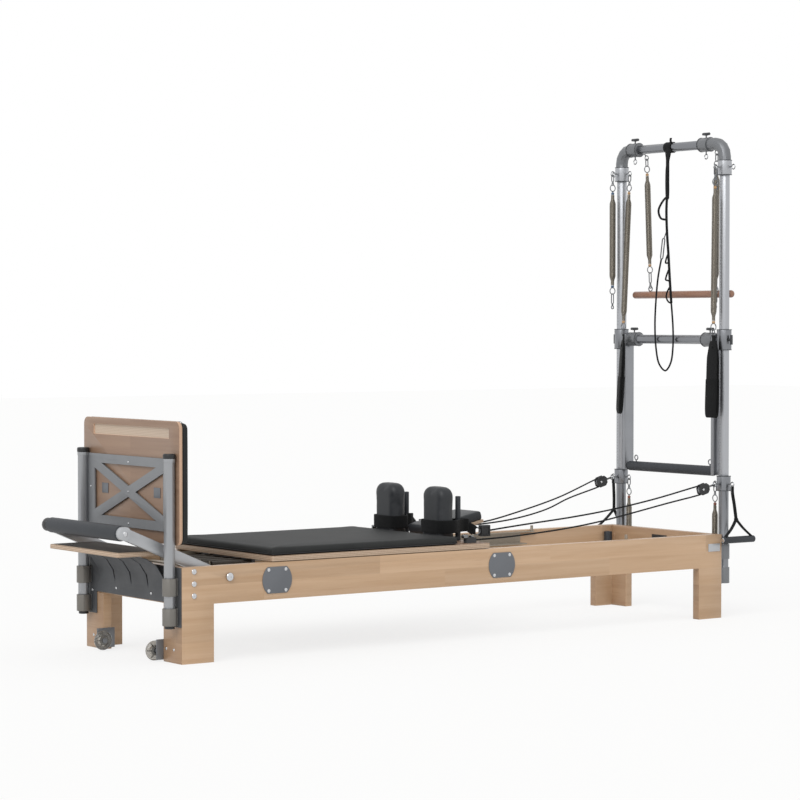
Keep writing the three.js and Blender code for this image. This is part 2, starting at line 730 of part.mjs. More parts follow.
function rollerAxle(x) {
  const wheels = [nearSide, farSide].map((side) => rod(
    point(x, side * rollerOuter, rollerHeight), point(x, side * (rollerOuter - rollerWidth), rollerHeight),
    rollerRadius, 16));
  const reach = rollerOuter - rollerWidth / 2;
  return joined(rod(point(x, -reach, rollerHeight), point(x, reach, rollerHeight), rollerAxleRadius, 12), ...wheels);
}
addPart('front_roller_axle', rollerAxle(rollerPlaces[0]), 'aluminium');
addPart('rear_roller_axle', rollerAxle(rollerPlaces[1]), 'aluminium');

// Five carriage springs side by side, tied by the rod that hooks them to the spring bar
const carriageSpringRadius = 11;
const hookRodRadius = 4;
const hookRodOffset = 12;

function carriageSprings() {
  const start = springBarX + hookWire + slideGap;
  const end = anchorX - anchorThickness / 2 - fitGap;
  const reach = springCountEachSide * springPitch + carriageSpringRadius / 2;
  const springs = hookSlots.map((y) => rod(
    point(start, y, springAxisHeight), point(end, y, springAxisHeight), carriageSpringRadius, 8));
  const x = springBarX + hookRodOffset;
  return joined(rod(point(x, -reach, springAxisHeight), point(x, reach, springAxisHeight), hookRodRadius, 8), ...springs);
}
addPart('carriage_springs', carriageSprings(), 'springSteel');

// Headrest, modelled flat about its hinge line and raised to its tilt
function tiltedPart(name, body, finish) {
  const mesh = addPart(name, body, finish);
  mesh.position.set(headrestHingeX, 0, headrestHingeHeight);
  mesh.rotation.y = -headrestTilt;
}

function headrestBoard() {
  const half = headrestWidth / 2;
  const pinReach = half + slideGap + headrestEar - fitGap;
  const board = block([0, headrestLength], [-half, half], [-headrestBoardThickness / 2, headrestBoardThickness / 2]);
  return joined(board,
    rod(point(0, -half, 0), point(0, half, 0), headrestBarrelRadius, 12),
    rod(point(0, -pinReach, 0), point(0, pinReach, 0), headrestPinRadius, 12));
}
tiltedPart('headrest_board', headrestBoard(), 'plywood');
tiltedPart('headrest_pad', cushion(
  [headrestBarrelRadius, headrestLength], [-headrestWidth / 2, headrestWidth / 2],
  headrestPadThickness - padCrown, padCrown, boardCorner,
  (u, v, w) => point(u, v, headrestBoardThickness / 2 + fitGap + w)), 'vinyl');

// Shoulder rests with rope pegs, and the webbing loops parked round them
const restSetback = 150;
const restFront = carriageEnd - restSetback;
const restDepth = 72;
const restWidth = 130;
const restCentre = 160;
const restTop = 584;
const restCorner = 16;
const restStemDepth = 14;
const pegSetback = 27;
const pegX = carriageEnd - pegSetback;
const pegOffset = 11;
const pegRadius = 10.5;
const pegTop = 540;
const loopWidth = 50;
const loopThickness = 5;
const loopFoot = 402;
const loopClearance = 2.6;
const neckWidth = 26;
const ringReach = 48;
const ringDrop = 25;
const ringY = 198;
const ringX = carriageEnd + ringReach;
const dRingRadius = 14;
const dRingWire = 3;
const adjusterLength = 42;
const adjusterWidth = 22;
const adjusterHeight = 44;

const restShares = {
  side: [[0, 0.1], [0.05, 0], [0.6, -0.05], [0.8, 0.05], [0.9, 0.4], [0.96, 0.85], [0.985, 1.2]],
  crown: [[0.7, 0.6], [0.35, 1]],
};

function shoulderRest(side) {
  const foot = carriageTop + fitGap;
  const y = side * restCentre;
  const height = restTop - foot;
  const crown = (1 - restShares.side.at(-1)[0]) * height;
  const rest = cushion([restFront, restFront + restDepth], [y - restWidth / 2, y + restWidth / 2],
    height - crown, crown, restCorner, (u, v, w) => point(u, v, foot + w), restShares);
  const pegY = side * (restCentre + pegOffset);
  const stem = block([restFront + restDepth / 2, pegX], [pegY - pegRadius, pegY + pegRadius], [foot, foot + restStemDepth]);
  return joined(rest, stem, rod(point(pegX, pegY, foot), point(pegX, pegY, pegTop), pegRadius, 14));
}

function shoulderLoop(side) {
  const height = loopFoot + loopWidth / 2;
  const out = loopClearance + loopThickness / 2;
  const at = (x, y) => point(x, side * y, height);
  const inner = restCentre - restWidth / 2 - out;
  const outer = restCentre + restWidth / 2 + out;
  const front = restFront - out;
  const back = restFront + restDepth;
  const pegY = restCentre + pegOffset;
  const pegOut = pegRadius + out;
  const outline = [
    at(front, inner + restCorner), at(front, outer - restCorner), at(front + restCorner / 2, outer - restCorner / 4),
    at(front + restCorner, outer), at(back, outer), at(pegX, pegY + pegOut), at(pegX + pegOut * 0.7, pegY + pegOut * 0.7),
    at(pegX + pegOut, pegY), at(pegX + pegOut * 0.7, pegY - pegOut * 0.7), at(pegX, pegY - pegOut), at(back, inner),
    at(front + restCorner, inner), at(front + restCorner / 2, inner + restCorner / 4),
  ];
  const loop = band(outline, Z, loopWidth, loopThickness, true);
  const neckEnd = at(ringX - dRingRadius, ringY).setZ(height - ringDrop);
  const neckStart = at(pegX + pegOut * 0.9, pegY + pegOut * 0.4);
  const neck = band([neckStart, neckStart.clone().lerp(neckEnd, 0.5), neckEnd], Z, neckWidth, loopThickness);
  const dRing = ring(at(ringX, ringY).setZ(height - ringDrop), Y, dRingRadius, dRingWire);
  const blockStart = ringX + dRingRadius;
  const adjuster = block([blockStart, blockStart + adjusterLength],
    [side * ringY - adjusterWidth / 2, side * ringY + adjusterWidth / 2], [height - ringDrop - adjusterHeight / 2, height - ringDrop + adjusterHeight / 2]);
  return joined(loop, neck, dRing, adjuster);
}
for (const [label, side] of [['near', nearSide], ['far', farSide]]) {
  addPart(`${label}_shoulder_rest`, shoulderRest(side), 'vinyl');
  addPart(`${label}_shoulder_loop`, shoulderLoop(side), 'webbing');
}

// Tower fittings: eyebolts and wing knobs
const eyeRadius = 10;
const eyeWire = 2.5;
const boltRadius = 3;
const eyeReach = 52;
const knobReach = 44;
const knobWingLength = 40;
const knobWingDepth = 6;
const knobWingWidth = 9;
const linkWire = 2;
const linkHalfWidth = 7;

function eyebolt(axisPoint, direction, normal, reach = eyeReach) {
  const eye = axisPoint.clone().addScaledVector(direction, reach);
  const shankEnd = axisPoint.clone().addScaledVector(direction, reach - eyeRadius);
  return joined(rod(axisPoint, shankEnd, boltRadius, 5), ring(eye, normal, eyeRadius, eyeWire));
}

function wingKnob(axisPoint, direction, across) {
  const top = axisPoint.clone().addScaledVector(direction, knobReach);
  const low = top.clone().addScaledVector(direction, -knobWingDepth);
  const half = knobWingLength / 2;
  const wing = rod(top.clone().addScaledVector(across, -half), top.clone().addScaledVector(across, half), knobWingDepth, 5);
  return joined(rod(axisPoint, low, boltRadius, 5), rod(low, top, knobWingWidth, 6), wing);
}

// The bore that lets a twelve-sided tube turn in a twelve-sided hole
const boreFor = (tubeRadius) => (tubeRadius + slideGap) / Math.cos(Math.PI / 12);

// Tower mounts on the end of the bed: bracket, two sleeves, tube and lower collar
const mountPlateThickness = 4;
const mountPlateHalf = 21;
const mountSleeveRadius = 25.5;
const mountUpperSleeve = [241, 302];
const mountLowerSleeve = [141, 206];
const lowerCollarFoot = lowerCollarTop - collarLength;
const lowerEyeInset = 34;
const lowerEyeHeight = lowerCollarTop - lowerEyeInset;
const elbowDrop = 69;
const upperEyeInset = 30;
const upperCollarTop = topBarHeight - elbowDrop;
const upperCollarFoot = upperCollarTop - collarLength;
const upperEyeHeight = upperCollarTop - upperEyeInset;

function towerMount(side) {
  const y = side * postY;
  const at = (z) => point(postX, y, z);
  const face = frameLength + fitGap;
  const plateFaces = [y - mountPlateHalf, y + mountPlateHalf];
  const plate = block([face, face + mountPlateThickness], plateFaces, [mountLowerSleeve[0], mountUpperSleeve[1]]);
  const sleeves = [mountUpperSleeve, mountLowerSleeve].map(([low, high]) => joined(
    rod(at(low), at(high), mountSleeveRadius, 12),
    block([face + mountPlateThickness / 2, postX], [y - mountSleeveRadius / 2, y + mountSleeveRadius / 2], [low, high])));
  const eye = at(lowerEyeHeight);
  return joined(plate, ...sleeves,
    rod(at(mountLowerSleeve[0]), at(lowerCollarTop), towerTubeRadius, 12),
    rod(at(lowerCollarFoot), at(lowerCollarTop), collarRadius, 12),
    eyebolt(eye, X.clone().negate(), Y), eyebolt(eye, Y.clone().multiplyScalar(-side), X),
    eyebolt(eye, Y.clone().multiplyScalar(side), X));
}

function towerPost(side) {
  const y = side * postY;
  return rod(point(postX, y, lowerCollarTop + fitGap), point(postX, y, upperCollarFoot - fitGap), towerTubeRadius, 12);
}

// Elbow with the collar of its post and the collar of the top bar
const bendRadius = 55;
const elbowRadius = 26;
const barCollarInner = { near: 182, far: 208 };
const barCollarLength = 58;
const barEyeReach = 50;
const rollHookReach = 42;
const rollHookLean = THREE.MathUtils.degToRad(35);
const rollHookPlaces = { near: -250, far: 190 };
const rollHookDirection = point(Math.sin(rollHookLean), 0, -Math.cos(rollHookLean));

class QuarterBend extends THREE.Curve {
  constructor(side) {
    super();
    this.side = side;
  }

  getPoint(t, target = new THREE.Vector3()) {
    const angle = (t * Math.PI) / 2;
    const y = postY - bendRadius + bendRadius * Math.cos(angle);
    return target.set(postX, this.side * y, topBarHeight - bendRadius + bendRadius * Math.sin(angle));
  }
}

function elbow(side, label) {
  const y = side * postY;
  const barY = (v) => point(postX, side * v, topBarHeight);
  const bendStart = topBarHeight - bendRadius;
  const collarInner = barCollarInner[label];
  const collarEnd = collarInner + barCollarLength;
  const collarMiddle = collarInner + barCollarLength / 2;
  const pieces = [
    rod(point(postX, y, upperCollarFoot), point(postX, y, upperCollarTop), collarRadius, 12),
    rod(point(postX, y, upperCollarTop - fitGap), point(postX, y, bendStart + fitGap), elbowRadius, 12),
    pipe(new QuarterBend(side), elbowRadius, 4, 12),
    rod(barY(postY - bendRadius + fitGap), barY(collarEnd - fitGap), elbowRadius, 12),
    rod(barY(collarEnd), barY(collarInner), collarRadius, 12),
    wingKnob(barY(collarMiddle), Z, Y),
    eyebolt(barY(collarMiddle), Z.clone().negate(), X, barEyeReach),
    eyebolt(point(postX, y, upperEyeHeight), X.clone().negate(), Y),
    eyebolt(point(postX, y, upperEyeHeight), Y.clone().multiplyScalar(-side), X),
    eyebolt(point(postX, y, upperEyeHeight), Y.clone().multiplyScalar(side), X),
  ];
  if (label === 'near') pieces.push(eyebolt(point(postX, rollHookPlaces.near, topBarHeight), rollHookDirection, Y, rollHookReach));
  return joined(...pieces);
}

for (const [label, side] of [['near', nearSide], ['far', farSide]]) {
  addPart(`${label}_tower_mount`, towerMount(side), 'fitting');
  addPart(`${label}_post`, towerPost(side), 'tube');
  addPart(`${label}_elbow`, elbow(side, label), 'fitting');
}
addPart('top_crossbar', joined(
  rod(point(postX, -barCollarInner.near + fitGap, topBarHeight), point(postX, barCollarInner.far - fitGap, topBarHeight),
    barTubeRadius, 12),
  eyebolt(point(postX, rollHookPlaces.far, topBarHeight), rollHookDirection, Y, rollHookReach),
), 'tube');

// Sliding crossbar: clamps on the posts, a bar, and collars that keep the arms in place
const clampRadius = 31;
const clampHalfHeight = 43;
const armInner = 271;
const armThickness = 18;
const slidingCollarInner = 208;

function slidingCrossbar() {
  const at = (y, z = slidingBarHeight) => point(postX, y, z);
  const collarOuter = armInner - slideGap;
  const pieces = [rod(at(-postY), at(postY), barTubeRadius, 12)];
  for (const side of [nearSide, farSide]) {
    pieces.push(
      rod(at(side * postY, slidingBarHeight - clampHalfHeight), at(side * postY, slidingBarHeight + clampHalfHeight), clampRadius, 12),
      rod(at(side * slidingCollarInner), at(side * collarOuter), collarRadius, 12),
      wingKnob(at((side * (slidingCollarInner + collarOuter)) / 2), Z, Y),
      wingKnob(at(side * postY), Y.clone().multiplyScalar(side), Z),
    );
  }
  const bores = [nearSide, farSide].map((side) => rod(
    at(side * postY, slidingBarHeight - clampHalfHeight - overrun),
    at(side * postY, slidingBarHeight + clampHalfHeight + overrun), towerTubeRadius + slideGap, 12));
  return cut(joined(...pieces), ...bores);
}
addPart('sliding_crossbar', slidingCrossbar(), 'fitting');

// Push-through bar: two flat arms hung on the sliding crossbar, with a padded grip
const armWidth = 48;
const armHubRadius = 28;
const armLength = 545;
const armFoot = 16;
const pushTubeRadius = 14;
const pushGripRadius = 20.5;
const pushEyeReach = 29;
const pushEyeInset = { near: 30, far: 46 };

function pushThroughFrame() {
  const axis = (y, z = slidingBarHeight) => point(postX, y, z);
  const gripHeight = slidingBarHeight - armLength;
  const arms = [nearSide, farSide].map((side) => {
    const faces = [side * armInner, side * (armInner + armThickness)].sort((a, b) => a - b);
    return joined(
      block([postX - armWidth / 2, postX + armWidth / 2], faces, [gripHeight - armFoot, slidingBarHeight]),
      rod(axis(faces[0]), axis(faces[1]), armHubRadius, 12));
  });
  const reach = armInner + armThickness / 2;
  const tube = rod(axis(-reach, gripHeight), axis(reach, gripHeight), pushTubeRadius, 12);
  const bore = rod(axis(-frameWidth), axis(frameWidth), boreFor(barTubeRadius), 12);
  return cut(joined(...arms, tube), bore);
}
addPart('push_through_frame', pushThroughFrame(), 'tube');

function pushThroughGrip() {
  const gripHeight = slidingBarHeight - armLength;
  const length = 2 * (armInner - fitGap);
  const sleeve = turned(sleeveProfile(length, pushGripRadius, pushTubeRadius + fitGap, bandThickness),
    point(postX, -length / 2, gripHeight), Y, 20);
  const eyes = [['near', nearSide], ['far', farSide]].map(([label, side]) => {
    const y = side * (armInner - pushEyeInset[label]);
    const start = point(postX, y, gripHeight + (pushTubeRadius + pushGripRadius) / 2);
    return eyebolt(start, Z, X, pushEyeReach - eyeRadius);
  });
  return joined(sleeve, ...eyes);
}
addPart('push_through_grip', pushThroughGrip(), 'foam');

// Hanging springs. Each modelled curl stands for a group of the real, close-wound turns,
// so its section is a flat oval that nearly fills the pitch.
const coilRadius = 12.5;
const coilWire = 1.6;
const coilGap = 1;
const coilNeckRadius = 5;
const coilShaftRadius = 3.2;
const coilRingRadius = 14;
const topLinkLength = 45;
const stepsPerCurl = 8;
const coilSides = 5;
const hangDrop = eyeRadius * Math.cos(Math.PI / ringSteps) - eyeWire - linkWire - slideGap;
const coilGaps = [];

// A wound tube along -Z from one level to another, tapered and straight at both ends
function coil(top, foot, curls) {
  const shaftLength = 2 * coilShaftRadius;
  const woundTop = top - shaftLength - coilShaftRadius;
  const wound = woundTop - (foot + shaftLength + coilShaftRadius);
  const flat = (wound / curls - coilGap) / 2;
  const steps = curls * stepsPerCurl;
  const shaftRing = (z) => around(coilSides, (angle) =>
    point(coilShaftRadius * Math.cos(angle), coilShaftRadius * Math.sin(angle), z));
  const rings = [];
  for (let i = 0; i <= steps; i += 1) {
    const turn = (i / stepsPerCurl) * Math.PI * 2;
    const taper = Math.min(i, steps - i, stepsPerCurl) / stepsPerCurl;
    const radius = THREE.MathUtils.lerp(coilNeckRadius, coilRadius - coilWire, taper);
    const half = THREE.MathUtils.lerp(coilWire, flat, taper);
    const z = woundTop - (i / steps) * wound;
    rings.push(around(coilSides, (angle) => {
      const reach = radius + coilWire * Math.cos(angle);
      return point(reach * Math.cos(turn), reach * Math.sin(turn), z + half * Math.sin(angle));
    }));
  }
  let least = Infinity;
  for (let i = stepsPerCurl; i < rings.length; i += 1) {
    for (const p of rings[i]) {
      for (const q of rings[i - stepsPerCurl]) least = Math.min(least, p.distanceTo(q));
    }
  }
  coilGaps.push(least);
  return loft([shaftRing(top), shaftRing(top - shaftLength), ...rings, shaftRing(foot + shaftLength), shaftRing(foot)]);
}

// A spring with its clips and rings, hung in an eye and leaned towards its lower end
function hangingSpring(name, { eye, normal, coilLength, curls, clipLength = 0, towards, linkLength = topLinkLength }) {
  const linkFoot = -hangDrop - linkLength;
  const ringNormal = normal.clone().cross(Z);
  const coilTop = linkFoot - 2 * coilRingRadius;
  const coilFoot = coilTop - coilLength;
  const lowerEnd = coilFoot - 2 * coilRingRadius;
  const clipFoot = lowerEnd - clipLength;
  const pieces = [
    link(0, 0, [linkFoot, -hangDrop], linkHalfWidth, normal, linkWire),
    ring(point(0, 0, linkFoot - coilRingRadius), ringNormal, coilRingRadius, linkWire, springRingSteps),
    coil(coilTop, coilFoot, curls),
    ring(point(0, 0, coilFoot - coilRingRadius), ringNormal, coilRingRadius, linkWire, springRingSteps),
  ];
  if (clipLength) pieces.push(link(0, 0, [clipFoot, lowerEnd], linkHalfWidth, normal, linkWire));
  const mesh = addPart(name, joined(...pieces), 'springSteel');
  const direction = towards ? towards.clone().sub(eye).normalize() : Z.clone().negate();
  mesh.position.copy(eye);
  mesh.quaternion.setFromUnitVectors(Z.clone().negate(), direction);
  return eye.clone().addScaledVector(direction, -clipFoot);
}

const armSpring = { coilLength: 414, curls: 4, clipLength: 61 };
const legSpring = { coilLength: 568, curls: 4 };
const rollSpring = { coilLength: 402, curls: 4, clipLength: 63, linkLength: 32 };
const pushSpring = { coilLength: 392, curls: 4, clipLength: 42 };
const springRingSteps = 6;
const springReach = ({ coilLength, clipLength = 0, linkLength = topLinkLength }) =>
  hangDrop + linkLength + coilLength + clipLength + 4 * coilRingRadius;
const upperFront = (side) => point(postX - eyeReach, side * postY, upperEyeHeight);
const upperInner = (side) => point(postX, side * (postY - eyeReach), upperEyeHeight);
const lowerInner = (side) => point(postX, side * (postY - eyeReach), lowerEyeHeight);
const farLegLean = 46;

hangingSpring('near_arm_spring', { eye: upperInner(nearSide), normal: Y, ...armSpring });
hangingSpring('far_arm_spring', { eye: upperFront(farSide), normal: X, ...armSpring });
const farLegEye = upperInner(farSide);
const farLegFoot = point(farLegEye.x - farLegLean, farLegEye.y, farLegEye.z - springReach(legSpring));
const legEnds = {
  near: hangingSpring('near_leg_spring', { eye: upperFront(nearSide), normal: X, ...legSpring }),
  far: hangingSpring('far_leg_spring', { eye: farLegEye, normal: Y, towards: farLegFoot, ...legSpring }),
};
hangingSpring('near_push_spring', { eye: lowerInner(nearSide), normal: Y, ...pushSpring });
hangingSpring('far_push_spring', { eye: lowerInner(farSide), normal: Y, ...pushSpring });

// Roll-down bar, tucked behind the posts on its two springs
const rollBarSetback = 37;
const rollBarX = postX + rollBarSetback;
const rollBarRadius = 15;
const rollBarEnds = [-335, 284];
const rollBarRound = 6;
const rollEyePlaces = { near: -230, far: 178 };

function rollDownEnd(label) {
  const eye = point(postX, rollHookPlaces[label], topBarHeight).addScaledVector(rollHookDirection, rollHookReach);
  const towards = point(rollBarX, rollEyePlaces[label], eye.z - springReach(rollSpring));
  return hangingSpring(`${label}_roll_spring`, { eye, normal: X, towards, ...rollSpring });
}
const rollEnds = [rollDownEnd('near'), rollDownEnd('far')];
const rollEyeHeight = Math.min(...rollEnds.map((end) => end.z)) - hangDrop;
const rollBarHeight = rollEyeHeight - eyeRadius - rollBarRadius + eyeWire / 2;

function rollDownBar() {
  const [start, end] = rollBarEnds;
  const length = end - start;
  const profile = [
    [0, 0], [rollBarRadius - rollBarRound, 0], [rollBarRadius, rollBarRound], [rollBarRadius, length - rollBarRound],
    [rollBarRadius - rollBarRound, length], [0, length],
  ];
  const bar = turned(profile, point(rollBarX, start, rollBarHeight), Y, 12);
  const eyes = rollEnds.map((place) => ring(point(place.x, place.y, rollEyeHeight), Y, eyeRadius, eyeWire));
  return joined(bar, ...eyes);
}
addPart('roll_down_bar', rollDownBar(), 'walnutTone');

// Foot straps: a padded loop under each leg spring
const legLinkNormals = { near: X, far: Y };
const footStrapWidth = 66;
const footStrapThickness = 4.5;
const footStrapLength = 308;
const footStrapDrop = 44;
const footStrapSpread = 8;
const footStrapNeck = 20;
const footStrapLink = 24;
const footStrapTurn = { near: 0, far: THREE.MathUtils.degToRad(-18) };
const strapLoopShares = [[0, 1], [-0.6, 0.93], [-1, 0.5], [-1, 0.08], [-0.6, 0.02], [0, 0], [0.6, 0.02], [1, 0.08], [1, 0.5], [0.6, 0.93]];

function footStrap(label) {
  const end = legEnds[label];
  const across = point(Math.sin(-footStrapTurn[label]), Math.cos(footStrapTurn[label]), 0);
  const face = across.clone().cross(Z);
  const loopTop = end.z - footStrapDrop;
  const loopPoints = strapLoopShares.map(([side, level]) =>
    point(end.x, end.y, loopTop - (1 - level) * footStrapLength).addScaledVector(face, side * footStrapSpread));
  const linkTop = end.z + eyeWire + linkWire + slideGap;
  const neckTop = linkTop - footStrapLink;
  return joined(
    link(end.x, end.y, [neckTop - linkWire, linkTop], linkHalfWidth, legLinkNormals[label], linkWire),
    band([point(end.x, end.y, neckTop), point(end.x, end.y, loopTop - footStrapThickness / 2)],
      across, footStrapNeck, 2 * footStrapThickness),
    band(loopPoints, across, footStrapWidth, footStrapThickness, true),
  );
}
addPart('near_foot_strap', footStrap('near'), 'webbing');
addPart('far_foot_strap', footStrap('far'), 'webbing');

// Handles on the outer eyebolts: a strap that splits to the two ends of a padded grip
const handleGripRadius = 14;
const handleGripLength = 170;
const handleGripDrop = 228;
const handleApexDrop = 144;
const handleApexOffset = { near: 22, far: 4 };
const handleGripOffset = { near: 32, far: -18 };
const handleStrapWidth = 14;
const handleStrapThickness = 3;
const handleLink = 26;

function handle(side, label) {
  const y = side * (postY + eyeReach);
  const linkTop = lowerEyeHeight - hangDrop;
  const at = (x, drop) => point(postX + x, y, lowerEyeHeight - drop);
  const strapTop = hangDrop + handleLink;
  const gripX = handleGripOffset[label];
  const half = handleGripLength / 2;
  const apex = at(handleApexOffset[label], handleApexDrop);
  const arm = (end) => band([apex, at(gripX + end * (half - handleStrapThickness), handleGripDrop)], Y,
    handleStrapWidth, handleStrapThickness);
  return joined(
    link(postX, y, [linkTop - handleLink, linkTop], linkHalfWidth, Y, linkWire),
    band([at(0, strapTop), apex], Y, handleStrapWidth, handleStrapThickness),
    arm(-1), arm(1),
    rod(at(gripX - half, handleGripDrop), at(gripX + half, handleGripDrop), handleGripRadius, 12),
  );
}
addPart('near_handle', handle(nearSide, 'near'), 'foam');
addPart('far_handle', handle(farSide, 'far'), 'foam');

// Pulley blocks on the front eyebolts, modelled hanging and turned to face the carriage
const pulleyCentreDrop = 70;
const sheaveRadius = 20;
const sheaveGroove = 14;
const sheaveHalfWidth = 6;
const sheaveGrooveHalf = 4;
const sheavePinRadius = 3;
const cheekGap = 1;
const cheekThickness = 3;
const cheekHalfWidth = 22;
const cheekBridge = 12;
const ropeRadius = 3;
const pulleyTurn = Math.atan2(1, 0.27);

function pulleyBlock() {
  const inner = sheaveHalfWidth + cheekGap;
  const outer = inner + cheekThickness;
  const top = -pulleyCentreDrop + sheaveRadius + cheekBridge + cheekGap;
  const foot = -pulleyCentreDrop - cheekHalfWidth;
  const shoulder = top - cheekBridge;
  const outline = [
    [-cheekHalfWidth / 2, foot], [cheekHalfWidth / 2, foot], [cheekHalfWidth, foot + cheekHalfWidth / 2],
    [cheekHalfWidth, shoulder], [cheekHalfWidth / 2, top], [-cheekHalfWidth / 2, top], [-cheekHalfWidth, shoulder],
    [-cheekHalfWidth, foot + cheekHalfWidth / 2],
  ];
  return joined(
    prism(outline, 'y', [-outer, -inner]), prism(outline, 'y', [inner, outer]),
    block([-cheekHalfWidth / 2, cheekHalfWidth / 2], [-outer, outer], [shoulder, top]),
    rod(point(0, -outer, -pulleyCentreDrop), point(0, outer, -pulleyCentreDrop), sheavePinRadius, 10),
    link(0, 0, [top - linkWire, -hangDrop], linkHalfWidth, X, linkWire),
  );
}

function sheaveProfile() {
  const bore = sheavePinRadius + slideGap;
  return [
    [bore, -sheaveHalfWidth], [sheaveRadius, -sheaveHalfWidth], [sheaveRadius, -sheaveGrooveHalf], [sheaveGroove, -sheaveGrooveHalf],
    [sheaveGroove, sheaveGrooveHalf], [sheaveRadius, sheaveGrooveHalf], [sheaveRadius, sheaveHalfWidth],
    [bore, sheaveHalfWidth], [bore, -sheaveHalfWidth],
  ];
}

const sheaveCentres = {};
for (const [label, side] of [['near', nearSide], ['far', farSide]]) {
  const eye = point(postX - eyeReach, side * postY, lowerEyeHeight);
  const pulley = addPart(`${label}_pulley_block`, pulleyBlock(), 'blackPlastic');
  pulley.position.copy(eye);
  pulley.rotation.y = pulleyTurn;
  const pull = point(-Math.sin(pulleyTurn), 0, -Math.cos(pulleyTurn));
  sheaveCentres[label] = eye.clone().addScaledVector(pull, pulleyCentreDrop);
  addPart(`${label}_sheave`, turned(sheaveProfile(), sheaveCentres[label], Y, 12), 'aluminium');
}

// Ropes: from the adjuster on each shoulder loop, round the sheave and back to the cleat
const ropeArcSteps = 6;
const ropeSides = 8;
const ropeEndGap = 1;
const upperRopeRoute = {
  near: [[1592, 213, 413], [1700, 228, 424], [1860, 252, 440], [2042, 276, 463], [2260, 302, 500]],
  far: [[1592, 216, 404], [1700, 228, 395], [1809, 240, 396], [2050, 266, 436], [2261, 295, 480]],
};
const lowerRopeRoute = {
  near: [[2320, 317, 482], [1973, 303, 422], [1800, 301, 402], [1658, 300, 391], [1500, 300, 382]],
  far: [[2320, 317, 468], [2200, 312, 428], [2020, 306, 395], [1800, 302, 379], [1560, 300, 377]],
};

class RopeRoute extends THREE.CatmullRomCurve3 {
  getUtoTmapping(u) {
    return u;
  }
}

function ropePoints(side, label) {
  const centre = sheaveCentres[label];
  const lay = sheaveGroove + ropeRadius + slideGap;
  const pull = point(Math.sin(pulleyTurn), 0, Math.cos(pulleyTurn));
  const over = point(-Math.cos(pulleyTurn), 0, Math.sin(pulleyTurn));
  const adjusterEnd = ringX + dRingRadius + adjusterLength + ropeEndGap;
  const hand = ([x, y, z]) => point(x, side * y, z);
  const arc = Array.from({ length: ropeArcSteps + 1 }, (_, i) => {
    const angle = Math.PI / 2 - (i / ropeArcSteps) * Math.PI;
    return centre.clone().addScaledVector(pull, lay * Math.cos(angle)).addScaledVector(over, lay * Math.sin(angle));
  });
  return [
    point(adjusterEnd, side * ringY, loopFoot + loopWidth / 2 - ringDrop), ...upperRopeRoute[label].map(hand), ...arc,
    ...lowerRopeRoute[label].map(hand), point(cleatX + cleatLength / 2 + ropeEndGap, side * cleatY, carriageTop + cleatHeight / 2),
  ];
}

for (const [label, side] of [['near', nearSide], ['far', farSide]]) {
  const points = ropePoints(side, label);
  const route = new RopeRoute(points, false, 'centripetal');
  const steps = points.length - 1;
  addPart(`${label}_rope`, pipe(route, ropeRadius, steps, ropeSides), 'rope');
  cordNames.push(`${label}_rope`);
}

// Safety strap: wrapped round the top bar, with side loops and a long cord loop below
const wrapGap = 1;
const wrapWidth = 34;
const wrapThickness = 3;
const safetyY = 12;
const safetyFront = 26;
const safetyStrapWidth = 24;
const safetyStrapLength = 215;
const safetyCordRadius = 3.5;
const safetyCordSteps = 24;
const safetySpread = 77;
const safetyLength = 945;
// Places in the strap's plane: a share of its spread, and a share of its length below the bar
const safetySideShares = [
  [[0.05, 0.217], [0.39, 0.24], [0.73, 0.28], [0.55, 0.314], [0.08, 0.323]],
  [[-0.16, 0.54], [0.06, 0.572], [0.12, 0.59], [-0.08, 0.594], [-0.22, 0.6]],
];
const safetyCordShares = [
  [0.03, 0.215], [0.08, 0.28], [0.03, 0.376], [-0.1, 0.481], [-0.21, 0.587], [-0.34, 0.693],
  [-0.48, 0.799], [-0.49, 0.884], [-0.31, 0.96], [0.13, 0.996], [0.65, 0.966], [0.91, 0.894], [1, 0.788],
  [0.91, 0.672], [0.75, 0.577], [0.57, 0.481], [0.26, 0.407], [0.04, 0.363],
];

function safetyStrap() {
  const wrapRadius = barTubeRadius + wrapGap + wrapThickness / 2;
  const wrapPoints = around(12, (angle) => point(postX + wrapRadius * Math.cos(angle), safetyY, topBarHeight + wrapRadius * Math.sin(angle)));
  const x = postX - safetyFront;
  const at = ([side, drop]) => point(x, side * safetySpread, topBarHeight - drop * safetyLength);
  const strap = band([
    point(postX - wrapRadius, safetyY, topBarHeight), point(x, safetyY / 2, topBarHeight - wrapWidth),
    point(x, 0, topBarHeight - safetyStrapLength),
  ], Y, safetyStrapWidth, wrapThickness);
  const loops = safetySideShares.map((loopPoints) => pipe(smooth(loopPoints.map(at)), safetyCordRadius, 7, 4));
  const cord = pipe(smooth(safetyCordShares.map(at)), safetyCordRadius, safetyCordSteps, 4);
  return joined(band(wrapPoints, Y, wrapWidth, wrapThickness, true), strap, ...loops, cord);
}
addPart('safety_strap', safetyStrap(), 'webbing');

console.log(`least gap of a spring to itself: ${Math.min(...coilGaps).toFixed(2)} mm`);

// The origin lies on the floor, under the middle of everything but the ropes
model.updateMatrixWorld(true);
const bounds = new THREE.Box3();
for (const mesh of model.children) {
  if (!cordNames.includes(mesh.name)) bounds.expandByObject(mesh, true);
}
const middle = bounds.getCenter(new THREE.Vector3());
model.position.set(-middle.x, -middle.y, -bounds.min.z);

export default model;
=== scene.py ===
# %% [markdown]
# # A pilates reformer with a tower, dressed in Blender
# The machine is a beech bed frame on two pairs of legs. A padded carriage rolls along it on two tracks,
# pulled back by springs. A jumpboard and a footbar stand at one end, and a grey tube tower with springs,
# straps, a roll-down bar and a push-through bar stands at the other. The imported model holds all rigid
# shapes at their true size. This notebook keeps them as the frame, and gives each piece its real
# surface: lacquered wood, vinyl, foam, anodised tube, wound springs and woven straps.

